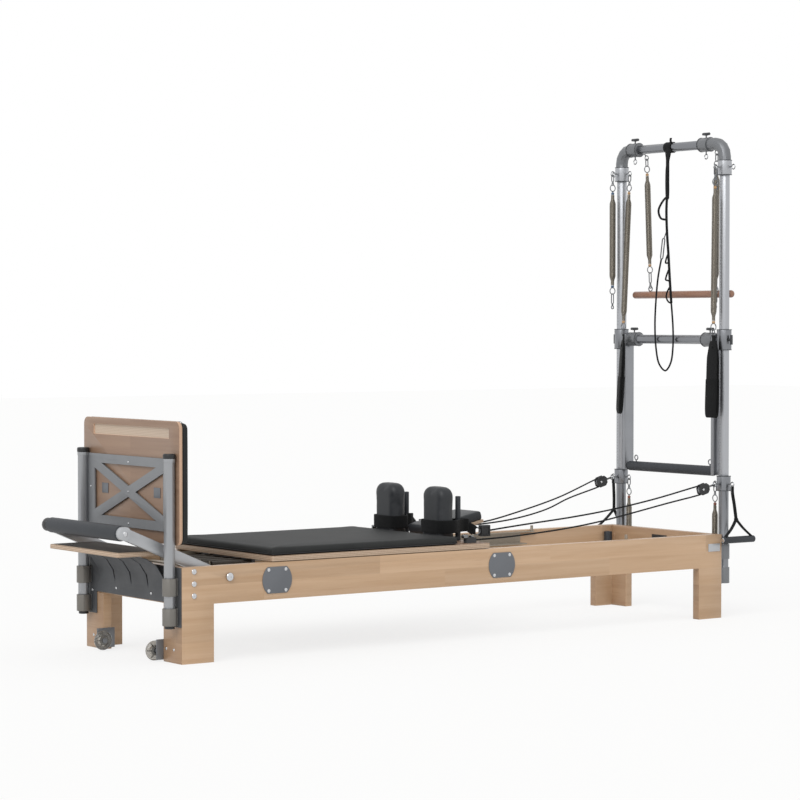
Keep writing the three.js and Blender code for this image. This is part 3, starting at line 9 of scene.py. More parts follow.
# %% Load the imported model
import json
import math
from contextlib import contextmanager

import bmesh
import bpy
from mathutils import Matrix, Vector


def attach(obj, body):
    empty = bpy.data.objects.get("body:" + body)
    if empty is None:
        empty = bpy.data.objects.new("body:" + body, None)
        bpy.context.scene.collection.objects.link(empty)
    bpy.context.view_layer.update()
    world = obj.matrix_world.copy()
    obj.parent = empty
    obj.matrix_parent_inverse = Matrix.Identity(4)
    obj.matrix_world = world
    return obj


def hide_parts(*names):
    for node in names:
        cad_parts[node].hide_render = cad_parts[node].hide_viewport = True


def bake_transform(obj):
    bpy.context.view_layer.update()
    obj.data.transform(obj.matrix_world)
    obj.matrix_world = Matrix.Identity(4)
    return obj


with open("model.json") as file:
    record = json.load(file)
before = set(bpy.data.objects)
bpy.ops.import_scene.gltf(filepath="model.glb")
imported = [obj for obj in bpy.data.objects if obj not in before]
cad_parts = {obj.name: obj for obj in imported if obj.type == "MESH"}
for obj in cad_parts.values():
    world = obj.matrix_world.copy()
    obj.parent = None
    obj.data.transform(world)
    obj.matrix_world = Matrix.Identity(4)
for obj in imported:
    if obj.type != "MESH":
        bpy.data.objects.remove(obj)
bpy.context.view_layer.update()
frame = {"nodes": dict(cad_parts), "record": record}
nodes = frame["nodes"]

# %% [markdown]
# Lengths in this notebook are millimetres, because that is how a maker measures such a machine. The
# drawing's zero is the foot end of the bed on the floor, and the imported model's zero is under the middle
# of the machine, so one function turns a drawing point into a place in Blender's metres.

# %% Units and places
MM = 0.001
FRAME_SHIFT = 1258
NEAR, FAR = -1, 1
SIDES = (("near", NEAR), ("far", FAR))
X_AXIS, Y_AXIS, Z_AXIS = Vector((1, 0, 0)), Vector((0, 1, 0)), Vector((0, 0, 1))


def place(x, y, z):
    """A point of the drawing, in millimetres, as a place in the scene."""
    return Vector((x - FRAME_SHIFT, y, z)) * MM


# %% [markdown]
# The photograph was taken from the foot end's near side with a long lens, a little above the rails. The
# camera's place was worked out from the corners of the bed and the tower in it, and their usual sizes.

# %% Camera
CAMERA_PLACE = Vector((-6.157666, -8.444642, 1.216017))
CAMERA_YAW, CAMERA_PITCH = -0.626, -0.029
LENS_LENGTH, SENSOR_WIDTH = 119.81, 36.0

camera = bpy.data.objects.new("camera", bpy.data.cameras.new("camera"))
bpy.context.scene.collection.objects.link(camera)
camera.location = CAMERA_PLACE
camera.rotation_euler = (math.pi / 2 + CAMERA_PITCH, 0, CAMERA_YAW)
camera.data.sensor_fit = "HORIZONTAL"
camera.data.sensor_width = SENSOR_WIDTH
camera.data.lens = LENS_LENGTH
bpy.context.scene.camera = camera
bpy.context.scene.view_settings.view_transform = "Standard"

# %% [markdown]
# A few small helpers stand for what a hand does in the modelling window: pick one object, put it at rest
# with its place in its mesh, give it one modifier and apply it, round its edges, and smooth its shading.
# A with block opens a piece in edit mode and closes it again, and can turn its faces outwards at the end.

# %% Modelling helpers
SMOOTH_ANGLE = math.radians(40)


def pick(*pieces):
    """Selects only these objects, the last one active."""
    bpy.ops.object.select_all(action="DESELECT")
    for piece in pieces:
        piece.select_set(True)
        bpy.context.view_layer.objects.active = piece


def named(piece, name):
    """Gives an object and its mesh one name."""
    piece.name = piece.data.name = name
    return piece


def settle(name):
    """Names the object just made and puts its place, turn and scale in its mesh."""
    piece = named(bpy.context.object, name)
    pick(piece)
    bpy.ops.object.transform_apply(location=True, rotation=True, scale=True)
    return piece


@contextmanager
def editing(piece, whole=True, outwards=False):
    """Edit mode on one piece, all or none of it selected at first, its faces turned outwards at the end."""
    pick(piece)
    bpy.ops.object.mode_set(mode="EDIT")
    bpy.ops.mesh.select_all(action="SELECT" if whole else "DESELECT")
    yield
    if outwards:
        bpy.ops.mesh.select_all(action="SELECT")
        bpy.ops.mesh.normals_make_consistent(inside=False)
    bpy.ops.object.mode_set(mode="OBJECT")


def extruded(*shift):
    """Extrudes what is selected by a distance in millimetres."""
    bpy.ops.mesh.extrude_region_move(TRANSFORM_OT_translate={"value": [part * MM for part in shift]})


def worked(piece, kind, **settings):
    """Adds one modifier to a piece and applies it."""
    pick(piece)
    modifier = piece.modifiers.new(kind.lower(), kind)
    for key, value in settings.items():
        setattr(modifier, key, value)
    bpy.ops.object.modifier_apply(modifier=modifier.name)
    return piece


def smoothed(piece, angle=SMOOTH_ANGLE):
    """Smooth shading that keeps edges sharper than the angle."""
    pick(piece)
    bpy.ops.object.shade_smooth_by_angle(angle=angle)
    return piece


def eased(piece, width, segments=2, angle=30):
    """Rounds a piece's sharp edges by a width in millimetres, which may be none."""
    if not width:
        return piece
    return worked(piece, "BEVEL", width=width * MM, segments=segments, limit_method="ANGLE",
                  angle_limit=math.radians(angle), harden_normals=False)


def joined(name, *pieces):
    """Makes one piece of several."""
    pick(*pieces)
    if len(pieces) > 1:
        bpy.ops.object.join()
    return settle(name)


def copied(piece, name, matrix=None):
    """A copy with a mesh of its own, moved and turned by a matrix."""
    twin = piece.copy()
    twin.data = piece.data.copy()
    bpy.context.scene.collection.objects.link(twin)
    if matrix is not None:
        twin.data.transform(matrix)
    return named(twin, name)


# %% [markdown]
# Most small pieces start from a round bar, a block or a ring of wire. Each start takes its size in
# millimetres and its middle as a place in the scene, and eases its own edges.

# %% Round bars, blocks and rings
TURNED_TO = {"X": (0, math.pi / 2, 0), "Y": (math.pi / 2, 0, 0), "Z": (0, 0, 0)}


def rod(name, radius, length, centre, sides=32, ease=0.0, steps=2, along="Z"):
    """A round bar along one axis."""
    bpy.ops.mesh.primitive_cylinder_add(vertices=sides, radius=radius * MM, depth=length * MM,
                                        location=centre, rotation=TURNED_TO[along])
    return eased(settle(name), ease, steps)


def slab(name, size, centre, ease=0.0):
    """A block with its sides along the axes."""
    bpy.ops.mesh.primitive_cube_add(size=MM, location=centre, scale=size)
    return eased(settle(name), ease)


def box_between(name, low, high):
    """A plain box between two corners of the drawing."""
    return slab(name, [b - a for a, b in zip(low, high)], (place(*low) + place(*high)) / 2)


def wire_ring(name, radius, wire, centre, axis="Z", around=32, section=10):
    """A round ring whose own axis is the one named."""
    bpy.ops.mesh.primitive_torus_add(major_segments=around, minor_segments=section, major_radius=radius * MM,
                                     minor_radius=wire * MM, location=centre, rotation=TURNED_TO[axis])
    return settle(name)


# %% [markdown]
# A imported node that gets a better finish is copied, its loose triangles are merged and its edges eased.
# The copy then takes its materials, and faces in a given box can take another one. Every finished piece
# is told which body it rides on and which node it stands for.

# %% Fitting pieces to the imported model
MERGE_DISTANCE, FLAT_ANGLE, FACING_SHARE, EVERYWHERE = 0.00002, math.radians(1), 0.7, 9999
TOWER_REACH = (2480, 2760)
BODY_OF = {node: body for body, members in frame["record"]["behaviour"]["bodies"].items() for node in members}


def carried(node, ease=0.0):
    """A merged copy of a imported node, with eased edges, that stands for it."""
    piece = copied(nodes[node], node + "_finished")
    for key in list(piece.keys()):
        del piece[key]
    piece.parent = None
    with editing(piece):
        bpy.ops.mesh.remove_doubles(threshold=MERGE_DISTANCE)
        bpy.ops.mesh.dissolve_limited(angle_limit=FLAT_ANGLE)
    return smoothed(eased(piece, ease))


def repainted(piece, index, low, high, facing=None):
    """Gives the faces inside a drawing box, or only those that face one way, another material."""
    lowest, highest = place(*low), place(*high)
    for face in piece.data.polygons:
        inside = all(lowest[i] <= face.center[i] <= highest[i] for i in range(3))
        if inside and (facing is None or face.normal.dot(Vector(facing)) > FACING_SHARE):
            face.material_index = index


def side_painted(piece, side, *areas):
    """Repaints areas of one side: a material's number, two distances from the middle, two heights, and
    the reach along the machine where it isn't the tower's."""
    for index, inner, outer, low, high, *reach in areas:
        near_y, far_y = sorted((side * inner, side * outer))
        start, end = reach or TOWER_REACH
        repainted(piece, index, (start, near_y, low), (end, far_y, high))


def fitted(piece, body, *materials, slot=None, replaces=()):
    """Gives a finished piece its materials, its body if it rides on one, and what it stands for."""
    piece.data.materials.clear()
    for material in materials:
        piece.data.materials.append(material)
    if body:
        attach(piece, body)
    if replaces:
        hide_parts(*replaces)
    return piece


def carry(node, ease, *materials, slot):
    """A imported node's eased copy, dressed and fitted in the node's place."""
    return fitted(carried(node, ease), BODY_OF[node], *materials, slot=slot, replaces=[node])


def dressed(node, material):
    """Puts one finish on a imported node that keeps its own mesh."""
    for slot_place in nodes[node].material_slots:
        slot_place.material = material


# %% [markdown]
# Every finish is made of nodes. One function turns a colour written as sRGB hex into the linear numbers
# that Blender works in, one adds a node with its settings and links, and one starts a surface with its
# plain values.

# %% Material helpers
def linear(hex_colour):
    """An sRGB colour such as #c8a582 as linear red, green, blue and 1."""
    parts = [int(hex_colour[i:i + 2], 16) / 255 for i in (1, 3, 5)]
    return [p / 12.92 if p <= 0.04045 else ((p + 0.055) / 1.055) ** 2.4 for p in parts] + [1.0]


def add_node(tree, kind, inputs=None, give=0, stops=(), **settings):
    """Adds one node, sets it and its colour stops, fills or links its inputs, and gives one output."""
    made = tree.nodes.new("ShaderNode" + kind)
    for key, value in settings.items():
        setattr(made, key, value)
    for key, value in (inputs or {}).items():
        if isinstance(value, bpy.types.NodeSocket):
            tree.links.new(value, made.inputs[key])
        else:
            made.inputs[key].default_value = value
    for i, (position, colour) in enumerate(stops):
        stop = made.color_ramp.elements[i]
        stop.position, stop.color = position, linear(colour)
    return made if give is None else made.outputs[give]


def surface(name, hex_colour, roughness, metallic=0.0, **sockets):
    """A material with one principled shader, its plain values on the sockets themselves."""
    material = bpy.data.materials.new(name)
    material.use_nodes = True
    material.diffuse_color = linear(hex_colour)
    shader = material.node_tree.nodes["Principled BSDF"]
    shader.inputs["Base Color"].default_value = linear(hex_colour)
    shader.inputs["Roughness"].default_value = roughness
    shader.inputs["Metallic"].default_value = metallic
    for key, value in sockets.items():
        shader.inputs[key.replace("_", " ")].default_value = value
    return material, material.node_tree, shader


def bumped(tree, shader, height, depth):
    """Raises a surface by a height pattern, its full depth in millimetres."""
    bump = add_node(tree, "Bump", {"Height": height, "Distance": depth * MM, "Strength": 1.0})
    tree.links.new(bump, shader.inputs["Normal"])


# %% [markdown]
# The rails, legs and end boards are beech: flat staves glued edge to edge, so the tone steps from one
# stave to the next, with short brown flecks and a fine long grain inside each. It is sanded smooth and
# lacquered satin. Each stave takes its own tone from its row and its length, and the grain is noise
# drawn out along the board.

# %% Wood
STAVE, ONE_SHEET = (820.0, 68.0), (4000, 4000)
STAVE_START, STAVE_SHIFT = 6.0, 0.37
GRAIN_REPEATS, FLECK_REPEATS = (1.2, 28), (6, 420)  # in a metre, along and across the grain
GRAIN_SPREAD, TONE_RANGE = 0.22, (0.88, 1.06)


def along_grain(along, repeats):
    """A pattern's repeats on X, Y and Z, the first number along the grain and the second across it."""
    return [repeats[0] if axis == along else repeats[1] for axis in "XYZ"]


def wood(name, pale, deep, fleck, along="X", stave=STAVE, contrast=1.0, roughness=0.42):
    """Lacquered solid wood with its grain along one axis."""
    material, tree, shader = surface(name, pale, roughness, Coat_Weight=0.15, Coat_Roughness=0.25)
    where = add_node(tree, "TexCoord", give="Object")
    parts = add_node(tree, "SeparateXYZ", {0: where}, None).outputs
    raised = add_node(tree, "Math", {0: parts["Z"], 1: STAVE_START * MM}, operation="SUBTRACT")
    row = add_node(tree, "Math", {0: raised, 1: stave[1] * MM}, operation="DIVIDE")
    row = add_node(tree, "Math", {0: row}, operation="FLOOR")
    slide = add_node(tree, "Math", {0: row, 1: STAVE_SHIFT}, operation="MULTIPLY")
    step = {0: parts[along], 1: 1 / (stave[0] * MM), 2: slide}
    step = add_node(tree, "Math", step, operation="MULTIPLY_ADD")
    step = add_node(tree, "Math", {0: step}, operation="FLOOR")
    cell = add_node(tree, "CombineXYZ", {0: row, 1: step, 2: 0.5})
    tone = add_node(tree, "TexWhiteNoise", {"Vector": cell}, "Value", noise_dimensions="3D")
    stretched = add_node(tree, "Mapping", {"Vector": where, "Scale": along_grain(along, GRAIN_REPEATS)})
    shifted = add_node(tree, "VectorMath", {0: stretched, 1: cell}, operation="ADD")
    grain = add_node(tree, "TexNoise", {"Vector": shifted, "Scale": 1.3, "Detail": 6.0, "Roughness": 0.62,
                                        "Distortion": 0.35}, "Fac")
    threads = add_node(tree, "Mapping", {"Vector": where, "Scale": along_grain(along, FLECK_REPEATS)})
    flecks = add_node(tree, "TexNoise", {"Vector": threads, "Scale": 1.0, "Detail": 2.0}, "Fac")
    spread = GRAIN_SPREAD / contrast
    grained = add_node(tree, "ValToRGB", {0: grain}, stops=[(0.5 - spread, pale), (0.5 + spread, deep)])
    toned = add_node(tree, "MapRange", {0: tone, 3: TONE_RANGE[0], 4: TONE_RANGE[1]})
    shade = add_node(tree, "HueSaturation", {"Color": grained, "Value": toned})
    spots = add_node(tree, "MapRange", {0: flecks, 1: 0.62, 2: 0.78, 3: 0.0, 4: 0.45})
    colour = add_node(tree, "Mix", {0: spots, 6: shade, 7: linear(fleck)}, 2, data_type="RGBA")
    tree.links.new(colour, shader.inputs["Base Color"])
    bumped(tree, shader, flecks, 0.05)
    return material


# Beech heartwood: pale pinkish tan, a little oranger in the grain; planed, sanded and lacquered satin.
beech = wood("beech_lacquered", "#c9aa8b", "#b89674", "#a07b5c")
# The same beech painted darker: the real darker end grain on the rails' cut ends, and painted shade on the
# end boards.
beech_endgrain_and_shade = wood("beech_lacquered_endgrain_and_shade", "#ab8d70", "#9a795c", "#82613f", "Y")
# Birch ply with a beech face: one sheet, so no staves; its grain shows as long soft figures.
face_ply = wood("beech_faced_plywood", "#927762", "#856a57", "#745a4a", "Y", ONE_SHEET, contrast=1.3)
# Turned hardwood bar, stained to a brown pink and lacquered glossy.
bar_wood = wood("turned_bar_stained", "#9c745c", "#80594a", "#62432f", "Y", ONE_SHEET, roughness=0.3)

# %% [markdown]
# Plywood shows its layers on a cut edge as thin stripes, darker where the grain is cut end on. The
# layers of a board that lies flat are stacked in height, so the stripes follow height alone and vanish
# on the flat faces.

# %% Plywood edges
LAYER_THICKNESS = 2.8  # a layer is 1.4 mm; two are drawn as one, so that they show


def ply_edge(name, pale, deep, across="Z"):
    """The cut edge of birch plywood, its layers stacked across one axis."""
    material, tree, shader = surface(name, pale, 0.5)
    where = add_node(tree, "TexCoord", give="Object")
    high = add_node(tree, "SeparateXYZ", {0: where}, across)
    phase = add_node(tree, "Math", {0: high, 1: math.pi / (LAYER_THICKNESS * MM)}, operation="MULTIPLY")
    wave = add_node(tree, "Math", {0: phase}, operation="SINE")
    fuzz = add_node(tree, "TexNoise", {"Vector": where, "Scale": 260.0, "Detail": 3.0}, "Fac")
    level = add_node(tree, "Math", {0: wave, 1: 0.35, 2: fuzz}, operation="MULTIPLY_ADD")
    colour = add_node(tree, "ValToRGB", {0: level}, stops=[(0.3, pale), (0.75, deep)])
    tree.links.new(colour, shader.inputs["Base Color"])
    bumped(tree, shader, level, 0.05)
    return material


# Birch ply edge: cream face layers with tan end grain between them, sanded and clear lacquered.
ply = ply_edge("birch_plywood_edge", "#c2ab95", "#9c846d")
ply_upright = ply_edge("birch_plywood_edge_upright", "#ceac90", "#b6937a", across="X")

# %% [markdown]
# The pads are covered in charcoal vinyl, a coated cloth pressed with a fine leather grain, and the grips
# in closed foam sleeves. Both are dark and fairly matt. What the eye reads is the soft highlight that
# breaks up in the grain, so the pattern goes into the bump and, faintly, the colour.

# %% Vinyl, foam and rubber
def dark_skin(name, colour, lift, grain, depth, roughness, **sockets):
    """A dark moulded or coated skin with a grain in millimetres."""
    material, tree, shader = surface(name, colour, roughness, **sockets)
    where = add_node(tree, "TexCoord", give="Object")
    cells = add_node(tree, "TexVoronoi", {"Vector": where, "Scale": 1 / (grain * MM)}, "Distance",
                     feature="DISTANCE_TO_EDGE")
    clouds = add_node(tree, "TexNoise", {"Vector": where, "Scale": 9.0, "Detail": 4.0}, "Fac")
    tone = add_node(tree, "ValToRGB", {0: clouds}, stops=[(0.3, colour), (0.72, lift)])
    tree.links.new(tone, shader.inputs["Base Color"])
    rough = add_node(tree, "MapRange", {0: clouds, 3: roughness - 0.05, 4: roughness + 0.06})
    tree.links.new(rough, shader.inputs["Roughness"])
    bumped(tree, shader, cells, depth)
    return material


# Upholstery vinyl: PVC on knitted cloth, embossed with a leather grain of about a millimetre, satin. The
# grain is drawn at 1.6 mm, so that it shows. The rests' vinyl is a shade glossier.
vinyl = dark_skin("upholstery_vinyl", "#2a2b2b", "#313232", 1.6, 0.12, 0.6, Specular_IOR_Level=0.15)
rest_vinyl = dark_skin("rest_vinyl", "#2b2d30", "#323437", 1.6, 0.1, 0.42, Specular_IOR_Level=0.3)
# Foam sleeve: closed-cell NBR skin, ground smooth, matt.
grip_foam = dark_skin("grip_foam", "#303337", "#373a3f", 1.1, 0.08, 0.55, Specular_IOR_Level=0.35)
# Moulded black ABS and nylon: fine spark-eroded texture.
black_plastic = dark_skin("moulded_black_plastic", "#1c1d1f", "#242527", 0.8, 0.04, 0.42)
# Rubber mat on the standing platform: pressed grit, quite matt.
mat_rubber = dark_skin("grip_mat_rubber", "#3f3c39", "#4a4642", 2.2, 0.35, 0.8)
# Black felted lining of the loops: long fibres that scatter light at the rim.
loop_felt = dark_skin("loop_fleece", "#0c0d0e", "#151617", 2.4, 0.9, 0.95, Sheen_Weight=0.05,
                      Specular_IOR_Level=0.2)

# %% [markdown]
# The tower is anodised aluminium tube with die-cast fittings that are powder coated a little darker.
# Metal shows its surroundings, so its tone comes from its own colour times what it mirrors. Brushing and
# orange peel are small steps of roughness and height.

# %% Metals and paint
def metal(name, colour, roughness, metallic=1.0, grain=0.6, depth=0.01, wear=0.08):
    """A metal or metallic paint, its grain in millimetres."""
    material, tree, shader = surface(name, colour, roughness, metallic)
    where = add_node(tree, "TexCoord", give="Object")
    peel = add_node(tree, "TexNoise", {"Vector": where, "Scale": 1 / (grain * MM), "Detail": 2.0}, "Fac")
    clouds = add_node(tree, "TexNoise", {"Vector": where, "Scale": 14.0, "Detail": 5.0}, "Fac")
    rough = add_node(tree, "MapRange", {0: clouds, 1: 0.3, 2: 0.7, 3: roughness - wear, 4: roughness + wear})
    tree.links.new(rough, shader.inputs["Roughness"])
    bumped(tree, shader, peel, depth)
    return material


# Extruded aluminium tube, satin anodised silver-grey: soft long highlights.
# One tube finish made twice: the copy for the posts and collars is painted paler, as painted highlight on
# upright tubes, and the copy for the bars and mounts darker, as painted shade on level tubes.
tube_shaded = metal("anodised_tube", "#86888c", 0.3, depth=0.002, wear=0.03)
tube_lit = metal("anodised_post_lit", "#b0b2b6", 0.4, depth=0.002, wear=0.03)
# Die-cast aluminium, powder coated: a finely pebbled skin, half matt.
cast_grey = metal("powder_coated_casting", "#77797c", 0.42, metallic=0.55, grain=1.2, depth=0.05)
# Sheet steel, powder coated charcoal and matt.
dark_plate = metal("powder_coated_plate", "#4d4f52", 0.55, metallic=0.2, grain=1.2, depth=0.05)
# Flat bar and bosses: brushed and anodised, the brightest of the greys.
arm_silver = metal("brushed_aluminium", "#b6b8bb", 0.4, metallic=0.6, depth=0.004)
# Zinc-plated or stainless fittings: polished, mirror like.
bright_steel = metal("polished_steel", "#c9cacc", 0.18, wear=0.04)
# Rings, hooks and eyebolts: the same steel, painted darker as painted shade, so that it reads against a pale
# background.
hook_steel_shaded = metal("shade_darkened_steel", "#7c7e80", 0.24, wear=0.06)
# Hard-drawn spring wire under a yellowed zinc finish.
spring_wire = metal("spring_wire", "#878177", 0.28, metallic=0.9, grain=0.4)
dark_wire = metal("carriage_spring_wire", "#55504a", 0.5, metallic=0.7, grain=0.4)
# Moulded wheel hub: grey glass-filled nylon.
hub_grey = dark_skin("hub_nylon", "#6d6b67", "#7a7874", 0.9, 0.05, 0.45)
# Badge plates: anodised sheet, bare, dark and even.
badge_plate = metal("badge_plate", "#6b6e73", 0.45, metallic=0.3, grain=0.8)
# Spring ferrules: moulded nylon sleeves, dyed by the spring's strength, half matt.
blue_ferrule = dark_skin("ferrule_blue", "#3c526c", "#465d78", 0.9, 0.05, 0.4)
orange_ferrule = dark_skin("ferrule_orange", "#a5825a", "#b08d66", 0.9, 0.05, 0.4)
red_ferrule = dark_skin("ferrule_red", "#7e4a3c", "#8a5546", 0.9, 0.05, 0.4)

# %% [markdown]
# Webbing is woven from black polyester in a twill, and the ropes are braided, so both are drawn in fine
# diagonal steps. The wheels are clear polyurethane: they take light in and bend it.

# %% Webbing, rope and clear wheels
THREAD_PITCH = 2.4  # woven at about 0.8 mm; drawn coarser, so that it shows
THREAD_TURN, WAVES_IN_PITCH = (0.5, 0.7, 0.78), 0.31


def woven(name, colour, lift):
    """Woven or braided black cloth."""
    material, tree, shader = surface(name, colour, 0.85, Sheen_Weight=0.05, Specular_IOR_Level=0.2)
    where = add_node(tree, "TexCoord", give="Object")
    turned = add_node(tree, "Mapping", {"Vector": where, "Rotation": THREAD_TURN})
    sets = {"Vector": turned, "Scale": WAVES_IN_PITCH / (THREAD_PITCH * MM), "Distortion": 0.6}
    first, second = [add_node(tree, "TexWave", sets, "Fac", bands_direction=way) for way in "XY"]
    threads = add_node(tree, "Math", {0: first, 1: second}, operation="MULTIPLY")
    tone = add_node(tree, "ValToRGB", {0: threads}, stops=[(0.2, colour), (0.8, lift)])
    tree.links.new(tone, shader.inputs["Base Color"])
    bumped(tree, shader, threads, 0.3)
    return material


webbing = woven("polyester_webbing", "#0f1011", "#1d1e20")
rope_braid = woven("braided_rope", "#131416", "#232427")
# Clear polyurethane skate wheel: slightly grey, smooth, bends light like plastic.
clear_wheel, tree, shader = surface("clear_polyurethane", "#b3afa8", 0.12, Transmission_Weight=0.78, IOR=1.5)
haze = add_node(tree, "TexNoise", {"Vector": add_node(tree, "TexCoord", give="Object"), "Scale": 60.0,
                                   "Detail": 3.0}, "Fac")
haze_rough = add_node(tree, "MapRange", {0: haze, 3: 0.08, 4: 0.25})
tree.links.new(haze_rough, shader.inputs["Roughness"])
print("materials:", len(bpy.data.materials))

# %% [markdown]
# The bed is two long rails on glued legs, joined by a board at each end. Their copies are eased by a few
# millimetres, as a router leaves them, because sawn edges are never dead sharp. The rails' cut ends show the
# darker end grain; the end boards take the same darker beech all over, as painted shade.

# %% Bed frame
RAIL_EASE = 2.5
for label, side in SIDES:
    rail = carry(f"{label}_side_rail", RAIL_EASE, beech, beech_endgrain_and_shade, slot="beech")
    for facing in ((1, 0, 0), (-1, 0, 0)):
        repainted(rail, 1, (-EVERYWHERE,) * 3, (EVERYWHERE,) * 3, facing)
carry("foot_end_board", RAIL_EASE, beech_endgrain_and_shade, slot="beech")
tower_board = carry("tower_end_board", RAIL_EASE, beech_endgrain_and_shade, slot="beech")
print("bed faces:", len(tower_board.data.polygons))

# %% [markdown]
# Bolts with low domed heads hold the boards and the footbar's pivot. One head is turned from a disc
# whose top is drawn in and raised, with a small socket pressed in its middle, and each place takes a
# copy of it.

# %% Domed screws
HEAD_SIDES, SOCKET_RIM, SOCKET_DEPTH = 20, 0.04, 0.4
HEAD_RINGS = ((1.0, 0.3), (0.86, 0.35), (0.6, 0.25), (0.3, 0.1))  # shares of the last width and of the height


def domed_head(radius, height):
    """One domed head of the given radius and height in millimetres, standing on the origin along Z."""
    bpy.ops.mesh.primitive_circle_add(vertices=HEAD_SIDES, radius=radius * MM, fill_type="NGON")
    head = settle("head")
    with editing(head, outwards=True):
        for share, rise in HEAD_RINGS:
            extruded(0, 0, rise * height)
            bpy.ops.transform.resize(value=(share, share, 1), center_override=(0, 0, 0))
        bpy.ops.mesh.inset(thickness=SOCKET_RIM * radius * MM)
        extruded(0, 0, -SOCKET_DEPTH * height)
    return smoothed(head)


def screw_row(name, body, places, facing, radius, height, material=bright_steel):
    """Domed heads at drawing places, all facing one way, as one piece."""
    head = domed_head(radius, height)
    turn = Z_AXIS.rotation_difference(Vector(facing)).to_matrix().to_4x4()
    heads = [copied(head, "head", Matrix.Translation(place(*spot)) @ turn) for spot in places]
    bpy.data.objects.remove(head)
    return fitted(joined(name, *heads), body, material)


OUTER, PIVOT_FACE = 345, 348.2
BOLT_X, BOLT_LEVELS, PIVOT_X, PIVOT_Z, LEG_SCREWS, LEG_SCREW_Z = 51, (329, 285, 242), 200, 303, (237, 290), 48
for label, side in SIDES:
    bolts = [(BOLT_X, side * OUTER, z) for z in BOLT_LEVELS]
    leg_screws = [(0, side * y, LEG_SCREW_Z) for y in LEG_SCREWS]
    screw_row(f"{label}_foot_bolts", "bed", bolts, (0, side, 0), 10.5, 5)
    screw_row(f"{label}_pivot_head", "footbar", [(PIVOT_X, side * PIVOT_FACE, PIVOT_Z)], (0, side, 0), 15, 7)
    screw_row(f"{label}_leg_screws", "bed", leg_screws, (-1, 0, 0), 5.5, 3)

# %% [markdown]
# Two charcoal badge plates sit on each rail, each a disc cut flat above and below and held by four
# bright screws. They stay bare. A small bright plate sits at the tower end.

# %% Badge plates
BADGE_RADIUS, BADGE_HALF_HEIGHT, BADGE_THICKNESS = 64, 48.5, 2.5
BADGE_SCREWS = ((-37, -38), (-37, 38), (37, -38), (37, 38))
BADGE_PLACES = {"foot": (404, 280.5), "tower": (1442, 279.5)}
PLATE_SIZE, PLATE_X, PLATE_Z = (64, 2, 32), 2550, 292


def badge(name, x, z, side):
    """A disc cut flat above and below, lying on the rail's outer face."""
    centre = place(x, side * (OUTER + BADGE_THICKNESS / 2 + 0.2), z)
    plate = rod(name, BADGE_RADIUS, BADGE_THICKNESS, centre, 72, along="Y")
    for direction in (1, -1):
        cut_place = (centre.x, centre.y, centre.z + direction * BADGE_HALF_HEIGHT * MM)
        with editing(plate):
            bpy.ops.mesh.bisect(plane_co=cut_place, plane_no=(0, 0, direction), use_fill=True,
                                clear_outer=True)
    return smoothed(eased(plate, 0.7))


for label, side in SIDES:
    for spot, (x, z) in BADGE_PLACES.items():
        fitted(badge(f"{label}_{spot}_badge", x, z, side), "bed", badge_plate)
        corners = [(x + dx, side * (OUTER + BADGE_THICKNESS), z + dz) for dx, dz in BADGE_SCREWS]
        screw_row(f"{label}_{spot}_badge_screws", "bed", corners, (0, side, 0), 6.5, 2.5)
for label, side in SIDES:
    end_plate = slab(f"{label}_end_plate", PLATE_SIZE, place(PLATE_X, side * (OUTER + 1.1), PLATE_Z), 0.6)
    fitted(smoothed(end_plate), "bed", arm_silver)

# %% [markdown]
# The foot end plate is folded sheet with four curved bands that carry the standing platform, and split
# sleeves for the jumpboard's posts. The sleeves are a warmer grey than the plate.

# %% Foot end plate and platform
SLEEVES = (1, 284, OUTER, 130, 310, -58, -5.2)
PLATE_FACE, PLATE_SCREWS = -4.4, ((113, 238), (-85, 285), (-202, 285), (202, 285), (291, 217), (-291, 217),
                                  (-139, 239), (27, 285))
MAT_LOW, MAT_HIGH, MAT_CORNER = (-196, -238, 401), (-16, 238, 402.6), 10
# Sleeves: steel tube, powder coated in a warm grey, finely pebbled and half matt.
sleeve_grey = metal("powder_coated_sleeve", "#77746f", 0.5, metallic=0.3, grain=1.2, depth=0.05)
foot_plate = carry("foot_end_plate", 1.2, dark_plate, sleeve_grey, slot="dark_plate")
for label, side in SIDES:
    side_painted(foot_plate, side, SLEEVES)
screw_row("foot_plate_screws", "bed", [(PLATE_FACE, y, z) for y, z in PLATE_SCREWS], (-1, 0, 0), 5.5, 3)
carry("standing_platform", 2, ply, slot="plywood")
mat = eased(box_between("platform_grip_mat", MAT_LOW, MAT_HIGH), MAT_CORNER, 4, 80)
fitted(smoothed(mat), "bed", mat_rubber)

# %% [markdown]
# The jumpboard hangs in two grey posts. A braced plate carries a panel of beech-faced ply with rounded
# corners and a recessed hand slot, whose floor shows pale birch. The posts have soft black caps.

# %% Jumpboard frame and panel
POST_X_JUMP, POST_Y_JUMP, CAP_RADIUS, CAP_FOOT, CAP_TOP = -31, 312, 22.8, 732, 751
PANEL_LOW, PANEL_HIGH = (-12, -EVERYWHERE, 420), (8, EVERYWHERE, 870)
SLOT_LOW, SLOT_HIGH = (-7.5, -272, 803), (0, 272, 840)
BRACE_FACE, BRACE_SCREWS = -18.6, ((0, 708), (0, 600), (0, 483), (277, 607), (-277, 607))
SQUARE_BADGES, SQUARE_SIZE = (("far", 183), ("near", -192)), (1.6, 46, 37)
# The push-through frame's tube and the jumpboard's posts: anodised too, but paler and duller than the tower.
tube_dull = metal("anodised_tube_dull", "#96989c", 0.42, depth=0.002)
tube_matt = metal("anodised_tube_matt", "#9fa1a4", 0.4, metallic=0.6, depth=0.002)
